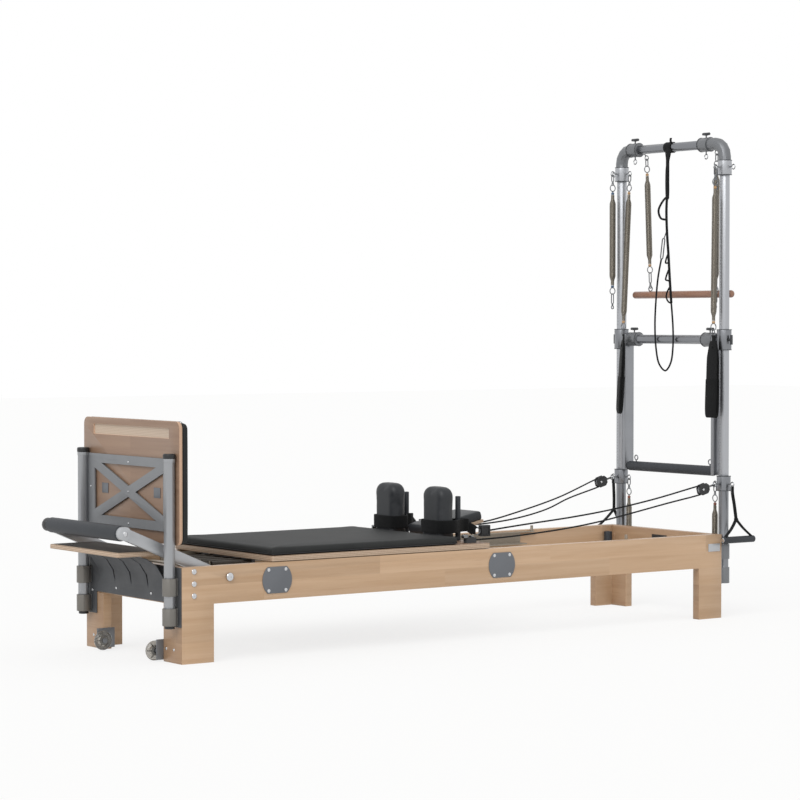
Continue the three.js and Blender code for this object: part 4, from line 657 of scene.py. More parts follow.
# Braced plate: sheet steel, powder coated mid grey, an even skin with a weak shine.
plate_grey = metal("powder_coated_braced_plate", "#808285", 0.5, metallic=0.35, grain=1.2, depth=0.02)
jump_frame = carry("jumpboard_frame", 0.6, tube_matt, plate_grey, slot="grey_tube")
repainted(jump_frame, 1, (-19.6, -290, 469), (-10, 290, 732))
for label, side in SIDES:
    cap_place = place(POST_X_JUMP, side * POST_Y_JUMP, (CAP_FOOT + CAP_TOP) / 2)
    cap = rod(f"{label}_post_cap", CAP_RADIUS, CAP_TOP - CAP_FOOT, cap_place, 36, 5, 5)
    fitted(smoothed(cap), "jumpboard", black_plastic)
# The hand slot's floor: birch left bare, so paler and greyer than the lacquered edges.
slot_wood = ply_edge("hand_slot_birch", "#c0ae9c", "#b09c88")
panel = carry("jumpboard_panel", 1.5, face_ply, ply_upright, slot_wood, slot="plywood")
for facing in ((0, 1, 0), (0, -1, 0), (0, 0, 1), (0, 0, -1)):
    repainted(panel, 1, PANEL_LOW, PANEL_HIGH, facing)
repainted(panel, 2, SLOT_LOW, SLOT_HIGH, (-1, 0, 0))
brace_screws = [(BRACE_FACE, y, z) for y, z in BRACE_SCREWS]
screw_row("jumpboard_plate_screws", "jumpboard", brace_screws, (-1, 0, 0), 4, 2)
for label, y in SQUARE_BADGES:
    plate = slab(f"{label}_square_badge", SQUARE_SIZE, place(-10, y, 605), 0.6)
    fitted(smoothed(plate), "jumpboard", badge_plate)

# %% [markdown]
# The footbar's arms are flat bar with round bosses. Its grip is a foam sleeve, closed at both ends by a
# soft rounded shoulder. It is turned from a profile: a disc is extruded along the bar and drawn in at
# both ends.

# %% Footbar
GRIP_X, GRIP_Z, GRIP_RADIUS, GRIP_REACH, SHOULDER_STEPS = -195, 471, 28, 260.4, 5
FAR_BOSS_LOW, FAR_BOSS_HIGH, BOSS_SCREW_Y = (-232, 255, 435), (-160, 300, 507), 286


def grip_sleeve(name, x, z, reach, radius, sides=40, shoulder=9):
    """A foam sleeve along Y about a drawing place, with rounded shoulders."""
    neck = radius - shoulder
    bpy.ops.mesh.primitive_circle_add(vertices=sides, radius=neck * MM, fill_type="NGON",
                                      location=place(x, -reach, z), rotation=TURNED_TO["Y"])
    sleeve = settle(name)
    angles = [i / SHOULDER_STEPS * math.pi / 2 for i in range(1, SHOULDER_STEPS + 1)]
    steps = [(shoulder * (1 - math.cos(angle)), neck + shoulder * math.sin(angle)) for angle in angles]
    back = [(2 * reach - along, wide) for along, wide in reversed(steps)]
    levels = [(0, neck), *steps, *back, (2 * reach, neck)]
    with editing(sleeve, outwards=True):
        for (last_along, last_wide), (along, wide) in zip(levels, levels[1:]):
            extruded(0, along - last_along, 0)
            share = wide / last_wide
            bpy.ops.transform.resize(value=(share, 1, share), center_override=place(x, -reach + along, z))
    return smoothed(sleeve)


footbar_frame = carry("footbar_frame", 1.2, arm_silver, black_plastic, slot="bare_aluminium")
repainted(footbar_frame, 1, FAR_BOSS_LOW, FAR_BOSS_HIGH)
grip = grip_sleeve("footbar_foam_grip", GRIP_X, GRIP_Z, GRIP_REACH, GRIP_RADIUS)
fitted(grip, "footbar", grip_foam, slot="grip_foam", replaces=["footbar_grip"])
for label, side in SIDES:
    screw_row(f"{label}_boss_screw", "footbar", [(GRIP_X, side * BOSS_SCREW_Y, GRIP_Z)], (0, side, 0), 9, 4)

# %% [markdown]
# Two braided ropes run from the shoulder loops up to the pulleys on the tower and back to the cleats on
# the carriage. A cord is a fixed length of something limp, so its route comes first: a list of points
# that hang and sag as in the photograph, joined by one smooth curve that leans on every point.

# %% Smooth lines, tubes and belts
def smooth_line(points, steps=6, closed=False):
    """More points along a centripetal curve through the given ones."""
    count = len(points)
    spans = count if closed else count - 1
    line = []
    for i in range(spans):
        if closed:
            p = [points[(i + k) % count] for k in (-1, 0, 1, 2)]
        else:
            before = points[i - 1] if i else points[0] * 2 - points[1]
            after = points[i + 2] if i + 2 < count else points[-1] * 2 - points[-2]
            p = [before, points[i], points[i + 1], after]
        gaps = [max((p[k + 1] - p[k]).length ** 0.5, 1e-6) for k in range(3)]
        slopes = [((p[k + 1] - p[k]) / gaps[k] - (p[k + 2] - p[k]) / (gaps[k] + gaps[k + 1])
                   + (p[k + 2] - p[k + 1]) / gaps[k + 1]) * gaps[1] for k in (0, 1)]
        for step in range(steps):
            t = step / steps
            line.append(p[1] * (2 * t ** 3 - 3 * t ** 2 + 1) + slopes[0] * (t ** 3 - 2 * t ** 2 + t)
                        + p[2] * (3 * t ** 2 - 2 * t ** 3) + slopes[1] * (t ** 3 - t ** 2))
    if not closed:
        line.append(points[-1].copy())
    return line


def drawn(name, line, closed=False, tube=0.0, width=0.0, thickness=0.0, turn=None, rounding=2):
    """A round tube, or a flat belt whose width runs along its own Z, drawn along a line and made a mesh."""
    curve = bpy.data.curves.new(name, "CURVE")
    curve.dimensions = "3D"
    curve.twist_mode = "Z_UP" if width else "MINIMUM"
    spline = curve.splines.new("POLY")
    spline.points.add(len(line) - 1)
    for spot, p in zip(spline.points, line):
        spot.co = (*p, 1)
    spline.use_cyclic_u = closed
    curve.bevel_depth = (tube or thickness / 2) * MM
    curve.extrude = max(width - thickness, 0) / 2 * MM
    curve.bevel_resolution = rounding
    curve.use_fill_caps = True
    piece = bpy.data.objects.new(name, curve)
    bpy.context.scene.collection.objects.link(piece)
    if turn is not None:
        piece.matrix_world = turn
    pick(piece)
    bpy.ops.object.convert(target="MESH")
    return smoothed(settle(name))


def line_length(line):
    """The length of a line of points, in metres."""
    return sum((b - a).length for a, b in zip(line, line[1:]))


# %% [markdown]
# Each rope leaves its adjuster, climbs to the pulley, takes half a turn in the sheave's groove, and
# comes back lower down to its cleat. The sheave hangs from its eyebolt, pulled towards the carriage. A
# black rope of 6 mm with a braided cover is limp; it is stretched between the two, with the sag of its
# own weight.

# %% Ropes
ROPE_RADIUS, SHEAVE_LAY, ARC_STEPS, ROPE_STEPS = 3.3, 17.6, 6, 6
PULLEY_EYE, PULLEY_DROP, PULLEY_TURN = (2570, 324, 550), 70, math.atan2(1, 0.27)
ROPE_START, ROPE_END = (1493, 198, 402), (1347, 300, 378.5)
UPPER_ROUTE = {
    "near": [(1592, 213, 413), (1700, 228, 424), (1860, 252, 440), (2042, 276, 463), (2260, 302, 500)],
    "far": [(1592, 216, 404), (1700, 228, 395), (1809, 240, 396), (2050, 266, 436), (2261, 295, 480)],
}
LOWER_ROUTE = {
    "near": [(2320, 317, 482), (1973, 303, 422), (1800, 301, 402), (1658, 300, 391), (1500, 300, 382)],
    "far": [(2320, 317, 468), (2200, 312, 428), (2020, 306, 395), (1800, 302, 379), (1560, 300, 377)],
}
pull = Vector((math.sin(PULLEY_TURN), 0, math.cos(PULLEY_TURN)))
over = Vector((-math.cos(PULLEY_TURN), 0, math.sin(PULLEY_TURN)))


def on_side(side, points):
    """Drawing points of the far side as places on either side."""
    return [place(x, side * y, z) for x, y, z in points]


def sheave_centre(side):
    """Where the middle of a sheave hangs."""
    return on_side(side, [PULLEY_EYE])[0] - pull * PULLEY_DROP * MM


for label, side in SIDES:
    angles = [math.pi / 2 - i / ARC_STEPS * math.pi for i in range(ARC_STEPS + 1)]
    arc = [sheave_centre(side) + (pull * math.cos(angle) + over * math.sin(angle)) * SHEAVE_LAY * MM
           for angle in angles]
    climb = on_side(side, [ROPE_START, *UPPER_ROUTE[label]])
    back = on_side(side, [*LOWER_ROUTE[label], ROPE_END])
    line = smooth_line(climb + arc + back, ROPE_STEPS)
    rope = drawn(f"{label}_braided_rope", line, tube=ROPE_RADIUS)
    fitted(rope, None, rope_braid, slot="rope", replaces=[f"{label}_rope"])
    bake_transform(rope)
    print(rope.name, "length", round(line_length(line), 3), "m")

# %% [markdown]
# The carriage is a ply board on rollers that run inside two aluminium tracks, with a metal spring bar
# and springs under it. Its edge shows the layers, its top the beech face. The cleats and ears are
# separate black and grey parts.

# %% Carriage board, tracks and springs
BOARD_TOP_LOW, BOARD_TOP_HIGH = (380, -EVERYWHERE, 367), (1390, EVERYWHERE, 368)
UNDERSIDE_SHADE_LOW, UNDERSIDE_SHADE_HIGH = (300, -EVERYWHERE, 290), (1400, EVERYWHERE, 346.8)
EARS_LOW, EARS_HIGH = (1280, -110, 367.7), (1320, 110, 395)
CLEATS = (2, 285, 316, 367.7, 395, 1290, 1352)
board = carry("carriage_board", 1.0, ply, face_ply, black_plastic, arm_silver, dark_plate, slot="plywood")
repainted(board, 1, BOARD_TOP_LOW, BOARD_TOP_HIGH, Z_AXIS)
# The parts under the board take the charcoal plate finish as painted shade, so that the gap above the rails
# reads dark.
repainted(board, 4, UNDERSIDE_SHADE_LOW, UNDERSIDE_SHADE_HIGH)
for label, side in SIDES:
    side_painted(board, side, CLEATS)
repainted(board, 3, EARS_LOW, EARS_HIGH)
# Tracks: extruded aluminium as it leaves the mill, with a dull and slightly warm shine.
track_grey = metal("mill_finish_track", "#a0988c", 0.5, metallic=0.6, depth=0.004)
for node in ("near_track", "far_track", "spring_bar"):
    dressed(node, track_grey)
for node in ("front_roller_axle", "rear_roller_axle"):
    carry(node, 0.8, dark_plate, slot="dark_plate")

# %% [markdown]
# The carriage springs are close-wound coils. A spring is a small circle of wire swept round and along an
# axis: the Screw modifier does exactly that. One is wound, then copied to the other pegs. They stretch
# between the bed and the carriage.

# %% Winding a spring
COIL_STEPS, COIL_SMOOTH, WIRE_SIDES = 12, math.radians(70), 6
SPRING_X, SPRING_END, SPRING_Z, SPRING_PITCH, SPRING_ROWS = 251.6, 423.5, 330, 66, (-2, -1, 0, 1, 2)
HOOK_ROD_X, HOOK_ROD_LENGTH = 260, 275


def wound(name, radius, wire, pitch, length):
    """A close coil of round wire from the origin down to -length along Z, all in millimetres."""
    bpy.ops.mesh.primitive_circle_add(vertices=WIRE_SIDES, radius=wire * MM, rotation=TURNED_TO["Y"],
                                      location=((radius - wire) * MM, 0, 0))
    coil = settle(name)
    turns = max(1, round((length - 2 * wire) / pitch))
    worked(coil, "SCREW", axis="Z", angle=2 * math.pi, screw_offset=-(length - 2 * wire) / turns * MM,
           iterations=turns, steps=COIL_STEPS, render_steps=COIL_STEPS, use_merge_vertices=False)
    coil.data.transform(Matrix.Translation((0, 0, -wire * MM)))
    with editing(coil, whole=False, outwards=True):
        bpy.ops.mesh.select_non_manifold()
        bpy.ops.mesh.edge_face_add()
    return smoothed(coil, COIL_SMOOTH)


master = wound("spring_master", 11, 1.9, 4.2, SPRING_END - SPRING_X)
lie_along_x = Matrix.Rotation(math.radians(-90), 4, "Y")
roots = [place(SPRING_X, i * SPRING_PITCH, SPRING_Z) for i in SPRING_ROWS]
springs = [copied(master, "spring", Matrix.Translation(root) @ lie_along_x) for root in roots]
bpy.data.objects.remove(master)
hook_rod = smoothed(rod("hook_rod", 4, HOOK_ROD_LENGTH, place(HOOK_ROD_X, 0, SPRING_Z), 16, 1, along="Y"))
carriage_springs = joined("carriage_wound_springs", hook_rod, *springs)
fitted(carriage_springs, None, dark_wire, slot="spring_steel", replaces=["carriage_springs"])
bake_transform(carriage_springs)
print("spring faces:", len(carriage_springs.data.polygons))

# %% [markdown]
# The pads are foam wrapped in vinyl. The cover is sewn from a top, a bottom and a side band, pulled
# tight, so that its faces crown a little and its edges stay soft. A pad starts as a slightly smaller
# block with rounded corners. It is remeshed to even squares and blown up as cloth with the backing held
# still, each point allowed only a few millimetres. A last smoothing takes out the steps.

# %% Stuffing a pad
PAD_PRESSURE, PAD_FRAMES, PAD_SMOOTH = 4, 20, math.radians(60)
AXES = {"X": X_AXIS, "Z": Z_AXIS}


def rounded_block(name, low, high, edges, corner, rim, corner_steps=6, rim_steps=4):
    """A drawing box with its corners along one axis and then the rims of both faces rounded."""
    block = box_between(name, low, high)
    axis = AXES[edges]
    for width, steps, along in ((corner, corner_steps, True), (rim, rim_steps, False)):
        with editing(block, whole=False):
            mesh = bmesh.from_edit_mesh(block.data)
            for edge in mesh.edges:
                line = (edge.verts[1].co - edge.verts[0].co).normalized()
                facings = [face.normal for face in edge.link_faces]
                on_face = any(abs(facing.dot(axis)) > FACING_SHARE for facing in facings)
                on_rim = on_face and len(facings) == 2 and abs(facings[0].dot(facings[1])) < FACING_SHARE
                edge.select = abs(line.dot(axis)) > FACING_SHARE if along else on_rim
            bmesh.update_edit_mesh(block.data)
            bpy.ops.mesh.bevel(offset=width * MM, segments=steps, clamp_overlap=True)
    return block


def remeshed(pad, voxel):
    """Turns a pad into even squares of a size in millimetres."""
    return worked(pad, "REMESH", mode="VOXEL", voxel_size=voxel * MM)


def softened(pad, iterations):
    """Takes the steps out of a pad and divides it once more."""
    worked(pad, "SMOOTH", factor=0.5, iterations=iterations)
    worked(pad, "SUBSURF", levels=1, render_levels=1)


def stuffed(pad, voxel, cap, held_axis, held_at):
    """Remeshes a pad, blows it up against its backing, and holds every point within a cap in millimetres."""
    remeshed(pad, voxel)
    axis = "XYZ".index(held_axis)
    held = pad.vertex_groups.new(name="backing")
    level = place(held_at, 0, held_at)[axis]
    held.add([v.index for v in pad.data.vertices if abs(v.co[axis] - level) < voxel * MM], 1.0, "REPLACE")
    rest = [v.co.copy() for v in pad.data.vertices]
    pick(pad)
    cloth = pad.modifiers.new("cloth", "CLOTH")
    cloth.settings.use_pressure = True
    cloth.settings.uniform_pressure_force = PAD_PRESSURE
    cloth.settings.effector_weights.gravity = 0
    cloth.settings.vertex_group_mass = held.name
    for number in range(1, PAD_FRAMES + 1):
        bpy.context.scene.frame_set(number)
    bpy.ops.object.modifier_apply(modifier=cloth.name)
    bpy.context.scene.frame_set(1)
    for vertex, start in zip(pad.data.vertices, rest):
        move = vertex.co - start
        if move.length > cap * MM:
            vertex.co = start + move.normalized() * cap * MM
    pad.vertex_groups.clear()
    softened(pad, 4)
    smoothed(pad, PAD_SMOOTH)


def seam_round(name, low, high, corner, level, plane="Z"):
    """A thin sewn line round a pad's side at one level, as a closed tube."""
    (a0, a1), (b0, b1) = (low[0], high[0]), (low[1], high[1])
    outline = []
    for centre_a, centre_b, quarter in ((a1 - corner, b0 + corner, 3), (a1 - corner, b1 - corner, 0),
                                        (a0 + corner, b1 - corner, 1), (a0 + corner, b0 + corner, 2)):
        for i in range(5):
            angle = (quarter + i / 4) * math.pi / 2
            outline.append((centre_a + corner * math.cos(angle), centre_b + corner * math.sin(angle)))
    line = [place(a, b, level) if plane == "Z" else place(level, a, b) for a, b in outline]
    return drawn(name, line, closed=True, tube=1.0, rounding=1)


# %% [markdown]
# The carriage pad is the largest: its cover is drawn down over the board's edge, and a sewn line runs
# round it.

# %% Carriage pad
PAD_BACK, PAD_LOW, PAD_HIGH = 367.8, (385, -343, 367.8), (1235, 343, 399)
carriage_pad = rounded_block("carriage_vinyl_pad", PAD_LOW, PAD_HIGH, "Z", 12, 7)
stuffed(carriage_pad, 8, 2.5, "Z", PAD_BACK)
fitted(carriage_pad, "carriage", vinyl, slot="vinyl", replaces=["carriage_pad"])
fitted(seam_round("carriage_pad_seam", (384, -344.2), (1236, 344.2), 12, 374), "carriage", rest_vinyl)

# %% [markdown]
# The jumpboard's pad faces the carriage. It is made the same way, but stands upright.

# %% Jumpboard pad
JUMP_BACK, JUMP_LOW, JUMP_HIGH = 4.4, (4.4, -343, 426), (35, 343, 863)
jump_pad = rounded_block("jumpboard_vinyl_pad", JUMP_LOW, JUMP_HIGH, "X", 26, 8)
stuffed(jump_pad, 8, 2.5, "X", JUMP_BACK)
fitted(jump_pad, "jumpboard", vinyl, slot="vinyl", replaces=["jumpboard_pad"])
jump_seam = seam_round("jumpboard_pad_seam", (-344.2, 424.8), (344.2, 864.2), 26, 11, "X")
fitted(jump_seam, "jumpboard", rest_vinyl)

# %% [markdown]
# The headrest is a small pad on its own ply board, raised about its hinge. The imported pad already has
# its form and tilt, so its merged copy is the start, and it is remeshed and smoothed like the others.

# %% Headrest
head_pad = named(carried("headrest_pad"), "headrest_vinyl_pad")
remeshed(head_pad, 5)
softened(head_pad, 6)
smoothed(head_pad, PAD_SMOOTH)
fitted(head_pad, "headrest", rest_vinyl, slot="vinyl", replaces=["headrest_pad"])
carry("headrest_board", 0.8, ply, slot="plywood")

# %% [markdown]
# The shoulder rests are upright blocks with broad rounded tops. Each is a block whose edges along the
# machine are bevelled wide, and then the rims of its front and back faces. Its foot is drawn out square
# again, to stand full on the board, and then it is stuffed. A round peg stands behind each, for parking
# the loops.

# %% Shoulder rests
REST_CENTRE, REST_HALF, REST_FACES, REST_FOOT, REST_TOP = 158.5, 69, (1240.5, 1307.5), 367.8, 582
FOOT_HEIGHT, FOOT_RIM, FOOT_INSET = 36, 385, 8
PEG_X, PEG_SIDE, PEG_RADIUS, PEG_FOOT, PEG_TOP = 1361, 171, 10.5, 368, 540
STEM_X, STEM_Z, STEM_SIZE = 1334, 375, (54, 21, 13.5)
for label, side in SIDES:
    y = side * REST_CENTRE
    rest = rounded_block(f"{label}_rest_pad", (REST_FACES[0], y - REST_HALF, REST_FOOT),
                         (REST_FACES[1], y + REST_HALF, REST_TOP), "X", 40, 24, 8, 6)
    for vertex in [v for v in rest.data.vertices if v.co.z < (REST_FOOT + FOOT_HEIGHT) * MM]:
        if vertex.co.z < FOOT_RIM * MM:
            vertex.co.z = (REST_FOOT + 0.1) * MM
        spread = vertex.co.y * 1000 - y
        vertex.co.y = (y + math.copysign(max(abs(spread), REST_HALF - FOOT_INSET), spread)) * MM
    stuffed(rest, 5, 3, "Z", REST_FOOT)
    fitted(rest, f"{label}_rest", rest_vinyl, slot="vinyl", replaces=[f"{label}_shoulder_rest"])
    peg = rod(f"{label}_rope_peg", PEG_RADIUS, PEG_TOP - PEG_FOOT,
              place(PEG_X, side * PEG_SIDE, (PEG_TOP + PEG_FOOT) / 2), 28, 2.5, 3)
    stem = slab("stem", STEM_SIZE, place(STEM_X, side * PEG_SIDE, STEM_Z), 2)
    fitted(smoothed(joined(f"{label}_rope_peg", peg, stem)), f"{label}_rest", grip_foam)

# %% [markdown]
# The tower is grey tube pushed into cast elbows, collars and clamps. Small steel eyebolts and dark wing
# knobs stand out from them. Each node is one solid, so its copy takes several finishes, given to the
# faces by place.

# %% Tower tubes and fittings
POST_X, POST_Y, TOP_Z, SLIDER_Z, LOWER_EYE_Z, UPPER_EYE_Z = 2622, 324, 1955, 1146, 550, 1856
EYE_REACH = (2480, 2592)
ELBOW_AREAS = ((1, 290, 360, 1823, 1886.5), (2, 290, 360, 1840, 1872, *EYE_REACH), (2, 240, 293, 1840, 1872),
               (2, 355, 400, 1840, 1872), (2, 180, 268, 1800, 1925.2), (3, 180, 268, 1985.2, 2010))
MOUNT_AREAS = ((1, 290, 352, 140, 207), (1, 290, 352, 240, 303), (2, 290, 360, 535, 565, *EYE_REACH),
               (2, 240, 293, 535, 565), (2, 355, 400, 535, 565))
SLIDER_AREAS = ((1, 207, 271, 1100, 1177), (2, 207, 271, 1176, 1200), (2, 355.5, 400, 1100, 1200))
HOOK_LOW, HOOK_HIGH = (2600, 150, 1890), (2700, 206, 1934)
# Wing knobs and gaskets: moulded nylon, dark and half matt.
knob_dark = dark_skin("knob_nylon", "#2f3134", "#393b3e", 0.9, 0.05, 0.5)
# Posts and collars take the tube painted paler as painted highlight; mounts and bars take the one painted
# darker as painted shade.
for label, side in SIDES:
    carry(f"{label}_post", 0.3, tube_lit, slot="grey_tube")
    elbow = carry(f"{label}_elbow", 0.6, cast_grey, tube_lit, hook_steel_shaded, knob_dark, slot="grey_fitting")
    side_painted(elbow, side, *ELBOW_AREAS)
    mount = carry(f"{label}_tower_mount", 0.6, tube_shaded, cast_grey, hook_steel_shaded, slot="grey_fitting")
    side_painted(mount, side, *MOUNT_AREAS)
crossbar = carry("top_crossbar", 0.4, tube_shaded, hook_steel_shaded, slot="grey_tube")
repainted(crossbar, 1, HOOK_LOW, HOOK_HIGH)
slider = carry("sliding_crossbar", 0.6, tube_shaded, cast_grey, knob_dark, slot="grey_fitting")
for label, side in SIDES:
    side_painted(slider, side, *SLIDER_AREAS)
carry("push_through_frame", 0.8, tube_dull, slot="grey_tube")

# %% [markdown]
# Down the foot-side face of each post runs a row of small punched marks for setting the sliding bar.
# Each is a shallow dark disc, modelled once and copied along the post, but not under the bar's clamps.

# %% Rows of post marks
MARK_RADIUS, MARK_RISE, MARK_PITCH, MARK_START, MARK_COUNT = 1.5, 0.12, 12.5, 610, 96
MARK_OUT, CLAMP_HALF = 21.15, 55
# The inside of a punched mark: all shade, so nearly black and matt.
mark_dark = dark_skin("mark_shadow", "#2b2c2e", "#323335", 1.0, 0.02, 0.7)
bpy.ops.mesh.primitive_circle_add(vertices=8, radius=MARK_RADIUS * MM, fill_type="NGON")
dot = settle("dot")
with editing(dot, outwards=True):
    extruded(0, 0, MARK_RISE)
    bpy.ops.transform.resize(value=(0.8, 0.8, 1), center_override=(0, 0, 0))
face_foot = Z_AXIS.rotation_difference(-X_AXIS).to_matrix().to_4x4()
levels = [MARK_START + i * MARK_PITCH for i in range(MARK_COUNT)]
levels = [level for level in levels if abs(level - SLIDER_Z) > CLAMP_HALF]
for label, side in SIDES:
    spots = [place(POST_X - MARK_OUT, side * POST_Y, level) for level in levels]
    marks = [copied(dot, "mark", Matrix.Translation(spot) @ face_foot) for spot in spots]
    fitted(joined(f"{label}_post_marks", *marks), "bed", mark_dark)
bpy.data.objects.remove(dot)

# %% [markdown]
# Dark gasket rings close the joints between tubes and collars. Each is a thin torus round the tube.

# %% Joint rings
RING_SECTION, TUBE_RING, CLAMP_RING = 1.3, 29.2, 30.8
COLLAR_INNER, COLLAR_RINGS = {"near": 182, "far": 208}, (56.8, 1.2)
POST_RINGS, CLAMP_RINGS, SLIDE_RING_Y = (1884.8, 1825.2, 523.2, 582.8), (1104.2, 1187.8), 209.2


def joint_ring(centre, radius=TUBE_RING, axis="Z"):
    """A thin dark ring round a tube."""
    return smoothed(wire_ring("joint_ring", radius, RING_SECTION, place(*centre), axis, 40, 8))


for label, side in SIDES:
    rings = [joint_ring((POST_X, side * POST_Y, z)) for z in POST_RINGS]
    rings += [joint_ring((POST_X, side * (COLLAR_INNER[label] + y), TOP_Z), axis="Y") for y in COLLAR_RINGS]
    fitted(joined(f"{label}_joint_rings", *rings), "bed", knob_dark)
    rings = [joint_ring((POST_X, side * SLIDE_RING_Y, SLIDER_Z), axis="Y")]
    rings += [joint_ring((POST_X, side * POST_Y, z), CLAMP_RING) for z in CLAMP_RINGS]
    fitted(joined(f"{label}_slider_rings", *rings), "slider", knob_dark)

# %% [markdown]
# The push-through bar's grip and its two eyebolts, the roll-down bar and the pulley blocks come next.
# The roll-down bar is turned from a broom-handle blank: a rod with round ends, lacquered glossy.

# %% Grips, roll-down bar and pulleys
EYE_RADIUS, EYE_WIRE, SHANK_RADIUS = 10, 2.5, 3
PUSH_Z, PUSH_REACH, PUSH_RADIUS, PUSH_EYES, PUSH_EYE_Z = 601, 270.4, 20.5, (-241, 225), 618
ROLL_X, ROLL_Z, ROLL_START, ROLL_END, ROLL_RADIUS, ROLL_EYES = 2659, 1335.3, -335, 284, 15.4, (-230, 178)
RIVET_OUT = 10


def eyebolt(x, y, z, reach, axis):
    """A small standing eyebolt: a shank with a ring on top, the ring's own axis along X or Y."""
    shank = rod("shank", SHANK_RADIUS, reach, place(x, y, z + reach / 2), 16, 0.5)
    eye = wire_ring("eye", EYE_RADIUS, EYE_WIRE, place(x, y, z + reach + EYE_RADIUS), axis, 28)
    return smoothed(joined("eyebolt", shank, eye))


push_grip = grip_sleeve("push_through_foam_grip", POST_X, PUSH_Z, PUSH_REACH, PUSH_RADIUS)
fitted(push_grip, "push_through_bar", grip_foam, slot="grip_foam", replaces=["push_through_grip"])
push_eyes = [eyebolt(POST_X, y, PUSH_EYE_Z, 9.3, "X") for y in PUSH_EYES]
fitted(joined("push_through_eyebolts", *push_eyes), "push_through_bar", hook_steel_shaded)
roll_half = (ROLL_END - ROLL_START) / 2
roll_bar = grip_sleeve("roll_down_wooden_bar", ROLL_X, ROLL_Z, roll_half, ROLL_RADIUS, shoulder=10)
roll_bar.data.transform(Matrix.Translation((0, (ROLL_START + ROLL_END) / 2 * MM, 0)))
fitted(roll_bar, "roll_down", bar_wood, slot="walnut_tone_wood", replaces=["roll_down_bar"])
roll_eyes = [eyebolt(ROLL_X, y, ROLL_Z + 12, 4, "Y") for y in ROLL_EYES]
fitted(joined("roll_down_eyebolts", *roll_eyes), "roll_down", hook_steel_shaded)
for label, side in SIDES:
    carry(f"{label}_pulley_block", 1.2, black_plastic, slot="black_plastic")
    dressed(f"{label}_sheave", arm_silver)
    x, y, z = sheave_centre(side) / MM
    for i, way in enumerate((1, -1)):
        screw_row(f"{label}_pulley_rivet_{i}", f"{label}_pulley", [(x + FRAME_SHIFT, y + way * RIVET_OUT, z)],
                  (0, way, 0), 5, 2.5)

# %% [markdown]
# The transport wheels are clear skate wheels. A torus is drawn a little wider for the tyre, and a spoked
# hub with a dark bearing closes its bore on both faces.

# %% Transport wheels
WHEEL_X, WHEEL_Y, WHEEL_Z, WHEEL_RADIUS, WHEEL_HALF, BORE = -19, 187, 37.3, 36.2, 12, 15
HUB_RADIUS, HUB_WIDTH, HUB_SPOKES, SPOKE_SIZE, SPOKE_OUT, BEARING_OUT = 17.5, 17, 6, (21, 9, 3.5), 16, 8.6
TYRE_MIDDLE, TYRE_SECTION = (WHEEL_RADIUS + BORE) / 2, (WHEEL_RADIUS - BORE) / 2
widen = Matrix.Diagonal((1, WHEEL_HALF / TYRE_SECTION, 1, 1))
for label, side in SIDES:
    body, centre = f"{label}_transport_wheel", place(WHEEL_X, side * WHEEL_Y, WHEEL_Z)
    tyre = wire_ring(f"{label}_clear_tyre", TYRE_MIDDLE, TYRE_SECTION, centre, "Y", 48, 20)
    tyre.data.transform(Matrix.Translation(centre) @ widen @ Matrix.Translation(-centre))
    fitted(smoothed(tyre), body, clear_wheel, slot="clear_wheel", replaces=[f"{label}_wheel"])
    parts = [rod("hub", HUB_RADIUS, HUB_WIDTH, centre, 32, 2, 3, "Y")]
    for i in range(HUB_SPOKES):
        spoke = slab("spoke", SPOKE_SIZE, centre)
        spoke.data.transform(Matrix.Translation(centre) @ Matrix.Rotation(i * math.tau / HUB_SPOKES, 4, "Y")
                             @ Matrix.Translation(Vector((SPOKE_OUT, 0, 0)) * MM - centre))
        parts.append(eased(spoke, 1))
    fitted(smoothed(joined(f"{label}_wheel_hub", *parts)), body, hub_grey)
    for i, way in enumerate((-1, 1)):
        screw_row(f"{label}_bearing_{i}", body, [(WHEEL_X, side * WHEEL_Y + way * BEARING_OUT, WHEEL_Z)],
                  (0, way, 0), 9, 2.5, mark_dark)
    carry(f"{label}_wheel_bracket", 0.8, cast_grey, slot="grey_fitting")

# %% [markdown]
# Eight long springs hang on the tower. Each is a close-wound tube of coils that tapers at both ends into
# a dyed ferrule, with a ring above and below, and a snap hook that hangs it in its eyebolt. The spring
# is modelled hanging from the origin, then turned towards its lower end and moved to its eye.

# %% Hanging springs
COIL_WIRE, COIL_PITCH, NECK_SHARE, NECK_LENGTH, TAPER_LENGTH = 1.45, 3.0, 0.55, 16, 26
RING_RADIUS, RING_WIRE, LINK_HALF, LINK_WIRE, HANG_DROP, LINK_STEPS = 14, 2.1, 6.8, 2.2, 4.14, 6
# The radius, start and length of a ferrule's sleeve, and of its stub.
FERRULE_PARTS, SHAFT_LENGTH = ((6.6, 3, 9), (3, 0, 4)), 12
LOOP_FOOT, BARREL_MIDDLE, BARREL_LENGTH, BARREL_RADIUS, SMALL_RING = 0.34, 0.27, 0.2, 4.2, 0.8
SHORT_LINK = 40
ARM_SPRING = {"coil": 414, "clip": 61, "link": 45, "radius": 14}
LEG_SPRING = {"coil": 568, "clip": 0, "link": 45, "radius": 13}
ROLL_SPRING = {"coil": 402, "clip": 63, "link": 32, "radius": 13.4}
PUSH_SPRING = {"coil": 392, "clip": 42, "link": 45, "radius": 13}
OTHER_AXIS = {"X": "Y", "Y": "X"}


def chain_link(name, top, foot, half=LINK_HALF, wire=LINK_WIRE, across="X"):
    """A long closed link of wire hanging below the origin, its flat side facing along one axis."""
    line = []
    for centre, start in ((top - half, 0), (foot + half, math.pi)):
        for i in range(LINK_STEPS + 1):
            angle = start + i / LINK_STEPS * math.pi
            u, w = half * math.cos(angle), centre + half * math.sin(angle)
            line.append(Vector((0, u, w) if across == "X" else (u, 0, w)) * MM)
    return drawn(name, line, closed=True, tube=wire)


